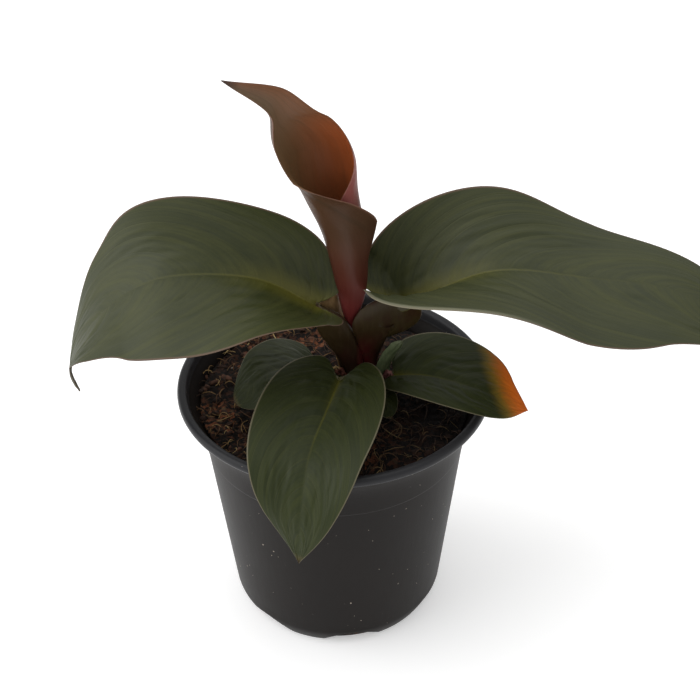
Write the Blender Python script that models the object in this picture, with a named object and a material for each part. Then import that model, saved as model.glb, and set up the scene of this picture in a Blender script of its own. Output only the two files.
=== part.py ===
"""A young philodendron in a round nursery pot.

Frame: +Z up, -Y towards the front, origin at the centre of the pot's flat base. Metres throughout.
The pot and the potting mix are turned, the plant stands on a short crown that the mix holds,
and every leaf is a blade on a stalk of its own. Touching pieces keep CLEARANCE between them.
"""

import math

import bpy
import numpy as np

MM = 0.001
CLEARANCE = 0.3 * MM

# Pot
POT_HEIGHT = 111 * MM
RIM_RADIUS = 65 * MM
LIP_WIDTH = 3.8 * MM
LIP_DEPTH = 4.2 * MM
SHOULDER_RADIUS = RIM_RADIUS - 10.5 * MM
SHOULDER_DROP = 27 * MM
HEEL_RADIUS = RIM_RADIUS - 19 * MM
HEEL_HEIGHT = 8 * MM
BASE_RADIUS = RIM_RADIUS - 22.3 * MM
POT_WALL = 1.0 * MM
NOTCH_COUNT = 7
NOTCH_WIDTH = 24 * MM
NOTCH_HEIGHT = 6.5 * MM
NOTCH_REACH = 5 * MM
NOTCH_TURN = math.radians(-83)

# Potting mix, crown and roots
MIX_BELOW_RIM = 10 * MM
MIX_RISE = 1.0 * MM
CROWN_X = 12 * MM
CROWN_Y = 10 * MM
CROWN_RADIUS = 12 * MM
CROWN_DEPTH = 22 * MM
CROWN_PROUD = 3 * MM
ROOT_COUNT = 7
ROOT_RADIUS = 1.5 * MM
ROOT_SPREAD = 0.37 * RIM_RADIUS
ROOT_DROP = 46 * MM

# Leaves
BLADE_THICKNESS = 0.9 * MM
YOUNG_THICKNESS = 0.6 * MM
LEAF_GREEN = (0.10, 0.13, 0.055)
LEAF_YOUNG = (0.33, 0.15, 0.10)
STALK_BROWN = (0.17, 0.13, 0.06)

MIX_LEVEL = POT_HEIGHT - MIX_BELOW_RIM
CROWN_TOP = MIX_LEVEL + CROWN_PROUD
LIP_RADIUS = RIM_RADIUS - LIP_WIDTH
SHOULDER_Z = POT_HEIGHT - SHOULDER_DROP
LIP_Z = POT_HEIGHT - LIP_DEPTH

for old in list(bpy.data.objects):
    bpy.data.objects.remove(old)


def material(name, colour, roughness):
    """A plain Principled finish."""
    made = bpy.data.materials.new(name)
    made.use_nodes = True
    shader = made.node_tree.nodes["Principled BSDF"]
    shader.inputs["Base Color"].default_value = (*colour, 1)
    shader.inputs["Roughness"].default_value = roughness
    shader.inputs["Metallic"].default_value = 0
    made.diffuse_color = (*colour, 1)
    return made


def add_object(name, points, faces, finish, sharp=40):
    """A smooth-shaded mesh object with one finish."""
    mesh = bpy.data.meshes.new(name)
    mesh.from_pydata([tuple(point) for point in points], [], [tuple(face) for face in faces])
    if finish:
        mesh.materials.append(finish)
    mesh.shade_smooth()
    mesh.set_sharp_from_angle(angle=math.radians(sharp))
    made = bpy.data.objects.new(name, mesh)
    bpy.context.scene.collection.objects.link(made)
    return made


def combine(target, helper, operation="DIFFERENCE"):
    """Cuts the helper out of the target, or joins it on, and keeps the helper out of the model."""
    helper.hide_render = True
    helper.display_type = "WIRE"
    boolean = target.modifiers.new(helper.name, "BOOLEAN")
    boolean.operation = operation
    boolean.object = helper


def turned(profile, steps, centre=(0, 0)):
    """Points and faces of a profile of (radius, z) turned about an upright axis.

    The profile runs from the axis at the bottom, round the outside, to the axis at the top.
    """
    profile = np.array(profile)
    turn = np.arange(steps) * 2 * math.pi / steps
    ring = np.stack([np.cos(turn), np.sin(turn), np.zeros(steps)], axis=1)
    rows = profile[1:-1, None, :1] * ring[None]
    rows[..., 2] = profile[1:-1, None, 1]
    ends = [(0, 0, profile[0, 1]), (0, 0, profile[-1, 1])]
    points = np.vstack([rows.reshape(-1, 3), ends]) + (*centre, 0)
    faces = []
    for row in range(len(profile) - 3):
        low = row * steps
        for a in range(steps):
            b = (a + 1) % steps
            faces.append((low + a, low + b, low + steps + b, low + steps + a))
    bottom = len(points) - 2
    last = (len(profile) - 3) * steps
    for a in range(steps):
        b = (a + 1) % steps
        faces.append((bottom, b, a))
        faces.append((bottom + 1, last + a, last + b))
    return points, faces


def smooth_path(knots, count):
    """A Catmull-Rom curve through the knots, with evenly spaced points."""
    knots = np.array(knots, dtype=float)
    padded = np.vstack([2 * knots[0] - knots[1], knots, 2 * knots[-1] - knots[-2]])
    t = np.linspace(0, 1, 24, endpoint=False)[:, None]
    spans = []
    for a, b, c, d in zip(padded, padded[1:], padded[2:], padded[3:]):
        cubic = (3 * b - a - 3 * c + d) * t**3
        spans.append(0.5 * (2 * b + (c - a) * t + (2 * a - 5 * b + 4 * c - d) * t**2 + cubic))
    curve = np.vstack(spans + [knots[-1:]])
    run = np.concatenate([[0], np.cumsum(np.linalg.norm(np.diff(curve, axis=0), axis=1))])
    wanted = np.linspace(0, run[-1], count)
    return np.stack([np.interp(wanted, run, curve[:, axis]) for axis in range(3)], axis=1)


def smooth_rows(knots, count):
    """Values read from a Catmull-Rom curve through evenly spaced knots."""
    knots = np.array(knots, dtype=float)
    padded = np.concatenate([[2 * knots[0] - knots[1]], knots, [2 * knots[-1] - knots[-2]]])
    place = np.linspace(0, 1, count) * (len(knots) - 1)
    span = np.minimum(place.astype(int), len(knots) - 2)
    t = (place - span).reshape((-1,) + (1,) * (knots.ndim - 1))
    a, b, c, d = (padded[span + step] for step in range(4))
    cubic = (3 * b - a - 3 * c + d) * t**3
    return 0.5 * (2 * b + (c - a) * t + (2 * a - 5 * b + 4 * c - d) * t**2 + cubic)


def unit(vectors):
    return vectors / np.linalg.norm(vectors, axis=-1, keepdims=True)


def base_middle_tip(values, t):
    """A quadratic that takes its three values at t = 0, 0.5 and 1."""
    base, middle, tip = values
    return base * (1 - t) * (1 - 2 * t) + middle * 4 * t * (1 - t) + tip * t * (2 * t - 1)


def frames(path, facing, twist=(0, 0, 0)):
    """Tangent, side and normal along a path. The first normal faces `facing`; twist is in degrees."""
    tangent = unit(np.gradient(path, axis=0))
    normal = np.zeros_like(tangent)
    current = np.array(facing, dtype=float)
    for row, along in enumerate(tangent):
        current = current - current.dot(along) * along
        current = current / np.linalg.norm(current)
        normal[row] = current
    side = np.cross(tangent, normal)
    turn = np.radians(base_middle_tip(twist, np.linspace(0, 1, len(path))))[:, None]
    turned_side = side * np.cos(turn) + normal * np.sin(turn)
    turned_normal = normal * np.cos(turn) - side * np.sin(turn)
    return tangent, turned_side, turned_normal


def sample(rows, where):
    """Rows of vectors read at fractions of their length."""
    place = where * (len(rows) - 1)
    known = np.arange(len(rows))
    return np.stack([np.interp(place, known, rows[:, axis]) for axis in range(3)], axis=-1)


def blade_half(leaf, side, rows, columns, path, vectors):
    """Half of a leaf blade, from its midrib to its margin, as rows of points.

    The flat outline is a rounded lobe behind the stalk, a bulge and a tip that a larger `point`
    draws out sharper. Each row of it is bent into an arc that leaves the midrib at the fold angle
    and turns by the curl angle. The lobe lies along the midrib's line, or against `behind`.
    """
    tangent, across, normal = vectors
    sign = (1, -1)[side]
    width = leaf["half_width"][side] * MM
    lobe = leaf["lobe"][side] * MM
    length = np.linalg.norm(np.diff(path, axis=0), axis=1).sum()
    fullness, taper, notch = leaf["outline"]
    phase = np.linspace(0, math.pi, rows)
    share = (1 - np.cos(phase)) / 2
    margin_x = (length + lobe) * share - lobe * (1 - np.exp(-((phase / notch) ** 2)))
    eased = np.clip(phase**fullness * math.pi ** (1 - fullness), 0, math.pi)
    margin_y = width * np.sin(eased) ** taper * (1 - share**8) ** leaf.get("point", 0)
    rib_x = length * share**1.15
    step = np.linspace(0, 1, columns)[None, :]
    x = rib_x[:, None] + (margin_x - rib_x)[:, None] * step
    y = margin_y[:, None] * step
    t = np.clip(x / length, 0, 1)
    fold = np.radians(base_middle_tip(leaf["fold"][side], t))
    bend = np.radians(base_middle_tip(leaf["curl"][side], t)) / width
    bend = np.where(np.abs(bend) < 1e-3, 1e-3, bend)
    out = (np.sin(fold + bend * y) - np.sin(fold)) / bend
    up = (np.cos(fold) - np.cos(fold + bend * y)) / bend
    behind = np.array(leaf["behind"]) if "behind" in leaf else tangent[0]
    rib = sample(path, t) + np.minimum(x, 0)[..., None] * behind
    return rib + sign * out[..., None] * sample(across, t) + up[..., None] * sample(normal, t)


def blade(leaf, finish):
    """A whole blade: two halves that share the midrib, thickened into a closed solid."""
    rows, columns = leaf["grid"]
    path = smooth_path(from_crown(leaf["midrib"]), 90)
    vectors = frames(path, leaf["facing"], leaf["twist"])
    points = []
    index = np.zeros((2, rows, columns), dtype=int)
    for side in (0, 1):
        half = blade_half(leaf, side, rows, columns, path, vectors)
        for row in range(rows):
            for column in range(columns):
                if column == 0 and side == 1:
                    index[side, row, column] = index[0, row, 0]
                elif column > 0 and row in (0, rows - 1):
                    index[side, row, column] = index[0, row, 0]
                else:
                    index[side, row, column] = len(points)
                    points.append(half[row, column])
    faces = []
    for side in (0, 1):
        for row in range(rows - 1):
            for column in range(columns - 1):
                corners = [
                    index[side, row, column],
                    index[side, row, column + 1],
                    index[side, row + 1, column + 1],
                    index[side, row + 1, column],
                ]
                if side == 1:
                    corners.reverse()
                faces.append(tuple(dict.fromkeys(corners)))
    made = add_object(leaf["name"], points, faces, finish)
    thicken = made.modifiers.new("thickness", "SOLIDIFY")
    thicken.thickness = BLADE_THICKNESS
    thicken.offset = 0
    return made


def rolled_blade(leaf, finish):
    """The young blade, a sheet wound round an upright axis and closed into a solid.

    Each row is an arc from its inner to its outer angle, in degrees from +X round by +Y. The
    radius grows along the arc, so that the outer edge laps over the inner one without touching.
    """
    rows, columns = leaf["grid"]
    axis = smooth_rows(from_crown(leaf["axis"]), rows)
    radius = smooth_rows(leaf["radius"], rows)[:, None] * MM
    inner = np.radians(smooth_rows(leaf["inner_angle"], rows))[:, None]
    outer = np.radians(smooth_rows(leaf["outer_angle"], rows))[:, None]
    lip = smooth_rows(leaf["lip"], rows)[:, None] * MM
    tangent = unit(np.gradient(axis, axis=0))
    upright = unit(leaf["lean"] * tangent + (1 - leaf["lean"]) * np.array((0, 0, 1)))
    right = unit(np.array((1, 0, 0)) - upright[:, :1] * upright)
    back = np.cross(upright, right)
    v = np.linspace(0, 1, columns)[None, :]
    angle = inner + (outer - inner) * v
    from_edge = (1 - v) * (outer - inner) * radius
    reach = radius * (1 + leaf["spiral"] * (v - 0.5)) + lip * np.exp(-from_edge / (4 * MM))
    ring = np.cos(angle)[..., None] * right[:, None] + np.sin(angle)[..., None] * back[:, None]
    points = (axis[:, None] + reach[..., None] * ring).reshape(-1, 3)
    faces = []
    for row in range(rows - 1):
        for column in range(columns - 1):
            low = row * columns + column
            faces.append((low, low + 1, low + columns + 1, low + columns))
    made = add_object(leaf["name"], points, faces, finish)
    thicken = made.modifiers.new("thickness", "SOLIDIFY")
    thicken.thickness = YOUNG_THICKNESS
    thicken.offset = 0
    return made


def swept(name, knots, widths, depths, facing, finish, rows=11, sides=12):
    """An oval section carried along a path, with its foot cut level.

    The widths and depths are half sizes in millimetres, evenly spaced from the base to the tip.
    """
    path = smooth_path(from_crown(knots), rows)
    _, across, normal = frames(path, facing)
    wide = smooth_rows(widths, rows)[:, None, None] * MM
    deep = smooth_rows(depths, rows)[:, None, None] * MM
    turn = np.arange(sides) * 2 * math.pi / sides
    ring = np.cos(turn)[None, :, None] * wide * across[:, None]
    ring = ring + np.sin(turn)[None, :, None] * deep * normal[:, None]
    points = (path[:, None] + ring).reshape(-1, 3)
    points[:sides, 2] = path[0, 2]
    faces = [tuple(range(sides)), tuple(reversed(range((rows - 1) * sides, rows * sides)))]
    for row in range(rows - 1):
        for a in range(sides):
            b = (a + 1) % sides
            low = row * sides
            faces.append((low + a, low + sides + a, low + sides + b, low + b))
    return add_object(name, points, faces, finish)


def from_crown(knots):
    """Millimetres from the middle of the crown's top, turned into places in the model."""
    return np.array(knots, dtype=float) * MM + (CROWN_X, CROWN_Y, CROWN_TOP)


# ---------------------------------------------------------------- pot


def wall_radius(z):
    """Outer radius of the pot's wall between its heel and its lip."""
    heights = (HEEL_HEIGHT, SHOULDER_Z, LIP_Z)
    return float(np.interp(z, heights, (HEEL_RADIUS, SHOULDER_RADIUS, LIP_RADIUS)))


def add_pot():
    """One thin turned wall with a rolled lip, and drain notches round the corner of its base."""
    roll = LIP_DEPTH / 4
    profile = [
        (0, 0),
        (BASE_RADIUS - 1 * MM, 0),
        (BASE_RADIUS, 0.5 * MM),
        (HEEL_RADIUS, HEEL_HEIGHT),
        (SHOULDER_RADIUS, SHOULDER_Z),
        (LIP_RADIUS, LIP_Z),
        (RIM_RADIUS - roll, LIP_Z + roll / 3),
        (RIM_RADIUS, LIP_Z + roll),
        (RIM_RADIUS, POT_HEIGHT - 1.5 * roll),
        (RIM_RADIUS - roll, POT_HEIGHT - 0.4 * roll),
        (RIM_RADIUS - 2.5 * roll, POT_HEIGHT),
        (LIP_RADIUS - 0.4 * roll, POT_HEIGHT - 0.4 * roll),
        (LIP_RADIUS - POT_WALL, POT_HEIGHT - 1.5 * roll),
        (LIP_RADIUS - POT_WALL, LIP_Z),
        (SHOULDER_RADIUS - POT_WALL, SHOULDER_Z),
        (HEEL_RADIUS - POT_WALL, HEEL_HEIGHT),
        (BASE_RADIUS - POT_WALL, POT_WALL),
        (0, POT_WALL),
    ]
    points, faces = turned(profile, 56)
    pot = add_object("pot", points, faces, material("pot_plastic", (0.035, 0.036, 0.042), 0.45))
    combine(pot, notch_cutters())


def notch_cutters():
    """Round bars that lie along the base's radii and cut a shallow arch each."""
    radius = (NOTCH_WIDTH**2 / 4 + NOTCH_HEIGHT**2) / (2 * NOTCH_HEIGHT)
    start, end = BASE_RADIUS - NOTCH_REACH, RIM_RADIUS
    sides = 40
    lap = np.arange(sides) * 2 * math.pi / sides
    points, faces = [], []
    for number in range(NOTCH_COUNT):
        turn = NOTCH_TURN + number * 2 * math.pi / NOTCH_COUNT
        outward = np.array((math.cos(turn), math.sin(turn), 0))
        sideways = np.array((-math.sin(turn), math.cos(turn), 0))
        rise = np.array((0, 0, 1))
        first = len(points)
        for along in (start, end):
            middle = outward * along + rise * (NOTCH_HEIGHT - radius)
            for a in lap:
                points.append(middle + radius * (math.cos(a) * sideways + math.sin(a) * rise))
        faces.append(tuple(first + a for a in reversed(range(sides))))
        faces.append(tuple(first + sides + a for a in range(sides)))
        for a in range(sides):
            b = (a + 1) % sides
            faces.append((first + a, first + b, first + sides + b, first + sides + a))
    return add_object("notches", points, faces, None)


# ---------------------------------------------------------------- mix, crown, roots


def crown_profile(grow, top):
    """The crown's turned outline, grown on every side but its top by `grow`."""
    radius = CROWN_RADIUS + grow
    bottom = CROWN_TOP - CROWN_DEPTH - grow
    return [
        (0, bottom),
        (0.55 * radius, bottom + 0.6 * MM),
        (0.88 * radius, bottom + 3 * MM),
        (radius, bottom + 7 * MM),
        (radius, top - 1.2 * MM),
        (radius - 1.2 * MM, top),
        (0, top),
    ]


def add_roots(name, grow):
    """Tapering main roots, grown by `grow`, that start inside the crown's side and turn down."""
    points, faces = [], []
    sides, rows = 8, 9
    lap = np.arange(sides) * 2 * math.pi / sides
    for number in range(ROOT_COUNT):
        turn = number * 2 * math.pi / ROOT_COUNT + 0.3 * math.sin(5 * number)
        reach = ROOT_SPREAD * (1 + 0.18 * math.cos(3 * number))
        outward = np.array((math.cos(turn), math.sin(turn), 0))
        rise = np.array((0, 0, 1))
        centre = np.array((CROWN_X, CROWN_Y, CROWN_TOP))
        start = CROWN_RADIUS - ROOT_RADIUS
        level = -CROWN_DEPTH * (0.45 + 0.08 * math.cos(2 * number))
        knots = [
            centre + outward * start + rise * level,
            centre + outward * (start + 8 * MM) + rise * (level - 3 * MM),
            centre + outward * (0.85 * reach) + rise * (0.5 * level - 0.5 * ROOT_DROP),
            centre + outward * reach + rise * (-ROOT_DROP - grow),
        ]
        path = smooth_path(knots, rows)
        _, across, normal = frames(path, rise)
        taper = ROOT_RADIUS * (1 - 0.65 * np.linspace(0, 1, rows)) + grow
        ring = np.cos(lap)[None, :, None] * across[:, None]
        ring = ring + np.sin(lap)[None, :, None] * normal[:, None]
        tube = (path[:, None] + ring * taper[:, None, None]).reshape(-1, 3)
        first = len(points)
        points.extend(tube)
        faces.append(tuple(first + a for a in range(sides)))
        faces.append(tuple(first + (rows - 1) * sides + a for a in reversed(range(sides))))
        for row in range(rows - 1):
            for a in range(sides):
                b = (a + 1) % sides
                low = first + row * sides
                faces.append((low + a, low + sides + a, low + sides + b, low + b))
    return add_object(name, points, faces, None)


def add_mix_and_crown():
    bark = material("crown_bark", (0.16, 0.10, 0.06), 0.85)
    centre = (CROWN_X, CROWN_Y)
    points, faces = turned(crown_profile(0, CROWN_TOP), 24, centre)
    crown = add_object("crown_and_roots", points, faces, bark)
    combine(crown, add_roots("main_roots", 0), "UNION")

    gap = POT_WALL + CLEARANCE
    edge = wall_radius(MIX_LEVEL) - gap
    profile = [
        (0, gap),
        (BASE_RADIUS - gap - 0.5 * MM, gap),
        (HEEL_RADIUS - gap - 0.1 * MM, HEEL_HEIGHT),
        (SHOULDER_RADIUS - gap - 0.1 * MM, SHOULDER_Z),
        (edge - 0.2 * MM, MIX_LEVEL - 0.5 * MM),
        (0.8 * edge, MIX_LEVEL),
        (0.5 * edge, MIX_LEVEL + 0.7 * MIX_RISE),
        (0, MIX_LEVEL + MIX_RISE),
    ]
    points, faces = turned(profile, 40)
    mix = add_object("potting_mix", points, faces, material("potting_mix", (0.09, 0.05, 0.035), 0.95))
    above = CROWN_TOP + 10 * MM
    points, faces = turned(crown_profile(CLEARANCE, above), 24, centre)
    combine(mix, add_object("crown_pocket", points, faces, None))
    combine(mix, add_roots("root_channels", CLEARANCE))


# ---------------------------------------------------------------- leaves

RIM_HEADROOM = 2.5
RIM_Y = (-RIM_RADIUS - CROWN_Y) / MM
RIM_Z = (POT_HEIGHT - CROWN_TOP) / MM
CROWN_EDGE = CROWN_RADIUS / MM

LEAVES = (
    {
        "name": "blade_left",
        "midrib": [
            (-19, -10, 44),
            (-43, -12, 59),
            (-77, -13, 61),
            (-99, -11, 48),
            (-113, -14, 33),
            (-118, -20, 22),
            (-114, -28, 17),
        ],
        "facing": (0, -0.45, 1),
        "twist": (0, -2, -32),
        "half_width": (32, 38),
        "lobe": (8, 15),
        "behind": (-0.95, -0.05, 0.2),
        "fold": ((23, 5, -9), (26, 6, 15)),
        "curl": ((64, 48, -34), (64, -9, 7)),
        "outline": (0.87, 1.48, 0.2),
        "grid": (21, 6),
    },
    {
        "name": "blade_right",
        "midrib": [(17, 0, 35), (51, -8, 57), (89, -11, 55), (125, -17, 51), (157, -33, 36)],
        "facing": (0, -0.3, 1),
        "twist": (6, 0, 8),
        "half_width": (46, 37),
        "lobe": (9, 15),
        "behind": (0.84, 0, -0.42),
        "fold": ((72, 3, 10), (44, 1, 3)),
        "curl": ((-26, 23, -21), (50, -13, -4)),
        "outline": (0.74, 1.35, 0.035),
        "grid": (21, 6),
    },
    {
        "name": "blade_front",
        "midrib": [
            (-10, -25, 17),
            (-15, RIM_Y * 43 / 75, 17),
            (-21, RIM_Y * 62 / 75, 14.5),
            (-24, RIM_Y, RIM_Z + RIM_HEADROOM),
            (-26, RIM_Y - 9, RIM_Z - 9),
            (-27, RIM_Y - 14.5, RIM_Z - 28),
        ],
        "facing": (0, 0, 1),
        "twist": (0, 0, -15),
        "half_width": (26, 24),
        "lobe": (13, 14),
        "fold": ((22, 9, -8), (21, 8, 10)),
        "curl": ((0, 0, 0), (0, 0, 0)),
        "outline": (0.83, 1.3, 0.2),
        "point": 0.5,
        "grid": (19, 5),
    },
    {
        "name": "blade_small_right",
        "midrib": [(12.5, -9.5, 7.5), (26, -19, 14), (43, -31, 17), (55, -37, 15), (65, -38, 10)],
        "facing": (0, -0.3, 1),
        "twist": (0, 8, -5),
        "half_width": (18, 23),
        "lobe": (4, 8),
        "fold": ((22, 12, -4), (20, 4, 0)),
        "curl": ((0, 0, 0), (0, 0, 0)),
        "outline": (0.86, 1.2, 0.3),
        "point": 0.55,
        "grid": (15, 4),
    },
    {
        "name": "blade_small_left",
        "midrib": [(-19, 0, 7), (-29, -12, 15), (-41, -19, 16), (-53, -22, 5)],
        "facing": (0, -0.3, 1),
        "twist": (0, 0, 0),
        "half_width": (17, 20),
        "lobe": (5, 8),
        "fold": ((13, 3, 0), (15, 5, 0)),
        "curl": ((0, 0, 0), (0, 0, 0)),
        "outline": (0.86, 1.15, 0.38),
        "grid": (15, 4),
    },
    {
        "name": "blade_tiny",
        "midrib": [(5, -3 - CROWN_EDGE, 3), (8, -11 - CROWN_EDGE, 5), (10, -19 - CROWN_EDGE, 2)],
        "facing": (0, 0, 1),
        "twist": (0, 0, 0),
        "half_width": (6, 6),
        "lobe": (2, 2),
        "fold": ((10, 5, 0), (10, 5, 0)),
        "curl": ((0, 0, 0), (0, 0, 0)),
        "outline": (0.86, 1.1, 0.36),
        "grid": (11, 3),
    },
)


YOUNG_BLADE = {
    "name": "blade_new",
    "axis": [
        (-5, -2, 29.5),
        (-4.4, -3, 44),
        (-5.3, -2.3, 59.5),
        (-7.2, 0, 74),
        (-11.3, 0, 90.5),
        (-14.5, -1, 104.5),
        (-20.2, -5, 119),
        (-28.2, -4, 132),
        (-50, -13, 145),
    ],
    "radius": (2.2, 4.7, 6.4, 8.0, 9.9, 12.6, 12.2, 7.1, 0.4),
    "inner_angle": (0, -100, -150, -130, -73, -6, 44, 86, 110),
    "outer_angle": (336, 356, 374, 362, 304, 226, 208, 216, 236),
    "lip": (0, 0.3, 1.2, 2.2, 2.2, 2.3, 0.6, 0, 0),
    "spiral": 0.35,
    "lean": 0.6,
    "grid": (33, 25),
}


def stalk_end(leaf, depth):
    """Two points just under the start of a blade's midrib, for a stalk of this half depth."""
    path = smooth_path(from_crown(leaf["midrib"]), 90)
    tangent, _, normal = frames(path, leaf["facing"], leaf["twist"])
    drop = normal[0] * (depth * MM + BLADE_THICKNESS / 2 + 4 * CLEARANCE)
    origin = from_crown([(0, 0, 0)])[0]
    points = (path[0] - tangent[0] * 3 * MM - drop * 1.3, path[0] + tangent[0] * 5 * MM - drop)
    return [tuple((point - origin) / MM) for point in points]


STALKS = (
    {
        "name": "stalk_left",
        "leaf": 0,
        "knots": [(-4.8, -1, 0.3), (-6, -3, 11.7), (-8, -4.5, 18), (-11, -5.5, 25), (-14, -6.5, 31)],
        "wide": (4.1, 4.2, 4.4, 4.7, 4.8, 3.2, 2.0),
        "deep": (3.4, 3.2, 3.0, 2.6, 2.2, 1.6, 1.2),
    },
    {
        "name": "stalk_right",
        "leaf": 1,
        "knots": [(4.6, 0.6, 0.3), (4.4, 0, 11), (5.4, -1.4, 18), (6.8, -3, 24), (9, -4, 30.5)],
        "wide": (3.6, 3.6, 4.8, 5.8, 6.0, 3.5, 2.0),
        "deep": (3.4, 3.2, 2.9, 2.5, 2.1, 1.6, 1.2),
    },
    {
        "name": "stalk_front",
        "leaf": 2,
        "knots": [(-1, -7.5, 0.3), (-5, -16, 9)],
        "wide": (2.4, 2, 1.6),
        "deep": (2.2, 1.6, 1.2),
    },
    {
        "name": "stalk_small_right",
        "leaf": 3,
        "knots": [(6.5, -7.6, 0.3), (8.5, -9, 2.5)],
        "wide": (1.8, 1.5, 1),
        "deep": (1.5, 1.2, 0.8),
    },
    {
        "name": "stalk_small_left",
        "leaf": 4,
        "knots": [(-10.5, -1, 0.3), (-14, 0, 3.5)],
        "wide": (1.6, 1.4, 1),
        "deep": (1.4, 1.2, 0.8),
    },
    {
        "name": "stalk_tiny",
        "leaf": 5,
        "knots": [(3.2, 2 - CROWN_EDGE, 0.3), (4, -1 - CROWN_EDGE, 1.6)],
        "wide": (1.1, 1, 0.7),
        "deep": (1, 0.8, 0.6),
    },
)
NEW_STALK_KNOTS = [(1.2, 8.3, 0.3), (-0.9, 5.8, 14), (-4.8, -1.2, 28.4)]
NEW_STALK_SIZE = (3.2, 3, 2.4)


def add_leaves():
    green = material("leaf_green", LEAF_GREEN, 0.4)
    young = material("leaf_young", LEAF_YOUNG, 0.4)
    stalk = material("stalk", STALK_BROWN, 0.5)
    for leaf in LEAVES:
        blade(leaf, green)
    rolled_blade(YOUNG_BLADE, young)
    for part in STALKS:
        leaf = LEAVES[part["leaf"]]
        knots = part["knots"] + stalk_end(leaf, part["deep"][-1])
        swept(part["name"], knots, part["wide"], part["deep"], leaf["facing"], stalk)
    swept("stalk_new", NEW_STALK_KNOTS, NEW_STALK_SIZE, NEW_STALK_SIZE, (1, -1, 0), young)


CATAPHYLL_GREEN = (0.35, 0.42, 0.20)
CATAPHYLL_DRY = (0.45, 0.28, 0.16)
SHEET = (0.5, 0.5, 0.4)
CATAPHYLLS = (
    (
        "cataphyll_green",
        [(9.6, -2.6, 0.3), (10.2, -3.4, 11), (13, -3.8, 20)],
        (1.6, 1.8, 1.8),
        (0.5, -1, 0.3),
    ),
    ("cataphyll_dry", [(-6.5, 7.5, 0.3), (-11, 7, 21), (-13.5, 4, 45)], (3, 2.8, 2), (0.3, -1, 0)),
    ("cataphyll_stub_left", [(-6, -8, 0.3), (-8, -10, 4), (-8, -12, 6.5)], (2.2, 2.4, 1), (0, -1, 0.4)),
    (
        "cataphyll_stub_right",
        [(10.4, -6, 0.3), (13, -7.4, 1.6), (15.5, -9, 1.8)],
        (1.4, 1.6, 0.8),
        (0, -1, 1),
    ),
)


def add_cataphylls():
    """Thin scale leaves that wrapped younger growth: one still green, one dry, two worn stubs."""
    green = material("cataphyll_green", CATAPHYLL_GREEN, 0.5)
    dry = material("cataphyll_dry", CATAPHYLL_DRY, 0.8)
    grown = CROWN_RADIUS / (12 * MM)
    for name, knots, widths, facing in CATAPHYLLS:
        if "stub" in name:
            knots = [(x * grown, y * grown, z) for x, y, z in knots]
        swept(name, knots, widths, SHEET, facing, green if name == "cataphyll_green" else dry)


add_pot()
add_mix_and_crown()
add_leaves()
add_cataphylls()
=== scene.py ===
"""Looks of a young philodendron in a black nursery pot. Metres, +Z up, -Y towards the front."""

import math

import bmesh
import bpy
import numpy as np
from mathutils import Matrix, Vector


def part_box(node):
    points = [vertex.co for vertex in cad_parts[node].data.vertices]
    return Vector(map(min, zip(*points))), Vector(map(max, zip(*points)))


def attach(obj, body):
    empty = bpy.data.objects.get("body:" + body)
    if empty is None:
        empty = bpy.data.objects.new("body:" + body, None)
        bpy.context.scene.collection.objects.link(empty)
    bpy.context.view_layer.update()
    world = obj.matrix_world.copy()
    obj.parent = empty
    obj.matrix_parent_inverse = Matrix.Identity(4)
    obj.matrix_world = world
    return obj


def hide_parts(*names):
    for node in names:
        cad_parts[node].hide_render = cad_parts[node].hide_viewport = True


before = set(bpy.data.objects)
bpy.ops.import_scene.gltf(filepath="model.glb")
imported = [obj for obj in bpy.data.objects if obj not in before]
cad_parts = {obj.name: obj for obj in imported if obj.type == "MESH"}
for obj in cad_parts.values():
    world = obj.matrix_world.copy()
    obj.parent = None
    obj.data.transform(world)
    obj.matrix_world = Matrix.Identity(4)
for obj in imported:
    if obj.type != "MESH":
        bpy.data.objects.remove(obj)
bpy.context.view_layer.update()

# ---------------------------------------------------------------- nursery pot
# A thin black polypropylene pot, moulded in one shot, with a beaded lip. Its wall tapers down to
# a chamfered heel, and seven shallow arches round the corner of the base let water out.

MM = 0.001
POT_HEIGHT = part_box("pot")[1].z
RIM_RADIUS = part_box("pot")[1].x
WALL = 1.0 * MM
HEEL_RADIUS, HEEL_HEIGHT = 46 * MM, 8 * MM
BASE_RADIUS = 42.7 * MM
SHOULDER_RADIUS, SHOULDER_HEIGHT = 54.5 * MM, POT_HEIGHT - 27 * MM
NECK_RADIUS, NECK_HEIGHT = 61.2 * MM, POT_HEIGHT - 4.4 * MM
SHOULDER_STEP = 0.22 * MM
BEAD_WIDTH = 3.8 * MM
# Millimetres out from the neck and down from the brim, round the bead from outside to inside.
BEAD = (
    (1.6, 4.25),
    (3.0, 3.8),
    (3.75, 2.9),
    (3.8, 1.7),
    (3.3, 0.6),
    (2.3, 0.05),
    (1.1, 0.15),
    (0.2, 0.8),
    (-0.35, 2.2),
    (-0.8, 4.0),
)
ARCH_COUNT, ARCH_WIDTH, ARCH_HEIGHT = 7, 24 * MM, 6.5 * MM
ARCH_TURN = math.radians(-83)
ARCH_REACH = 5 * MM
POT_STEPS = 392


class Signal:
    """One output among a finish's nodes. Arithmetic on signals adds Math nodes to that finish."""

    def __init__(self, finish, output):
        self.finish, self.output = finish, output

    def maths(self, operation, *values):
        return self.finish.node("Math", {"operation": operation}, dict(enumerate(values)))

    def __add__(self, other):
        return self.maths("ADD", self, other)

    def __sub__(self, other):
        return self.maths("SUBTRACT", self, other)

    def __rsub__(self, other):
        return self.maths("SUBTRACT", other, self)

    def __mul__(self, other):
        return self.maths("MULTIPLY", self, other)

    __radd__, __rmul__ = __add__, __mul__

    def ramp(self, low, high):
        """0 up to `low`, 1 from `high`, and a smooth step between them."""
        limits = {"Value": self, "From Min": low, "From Max": high}
        return self.finish.node("MapRange", {"interpolation_type": "SMOOTHSTEP"}, limits)


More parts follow.
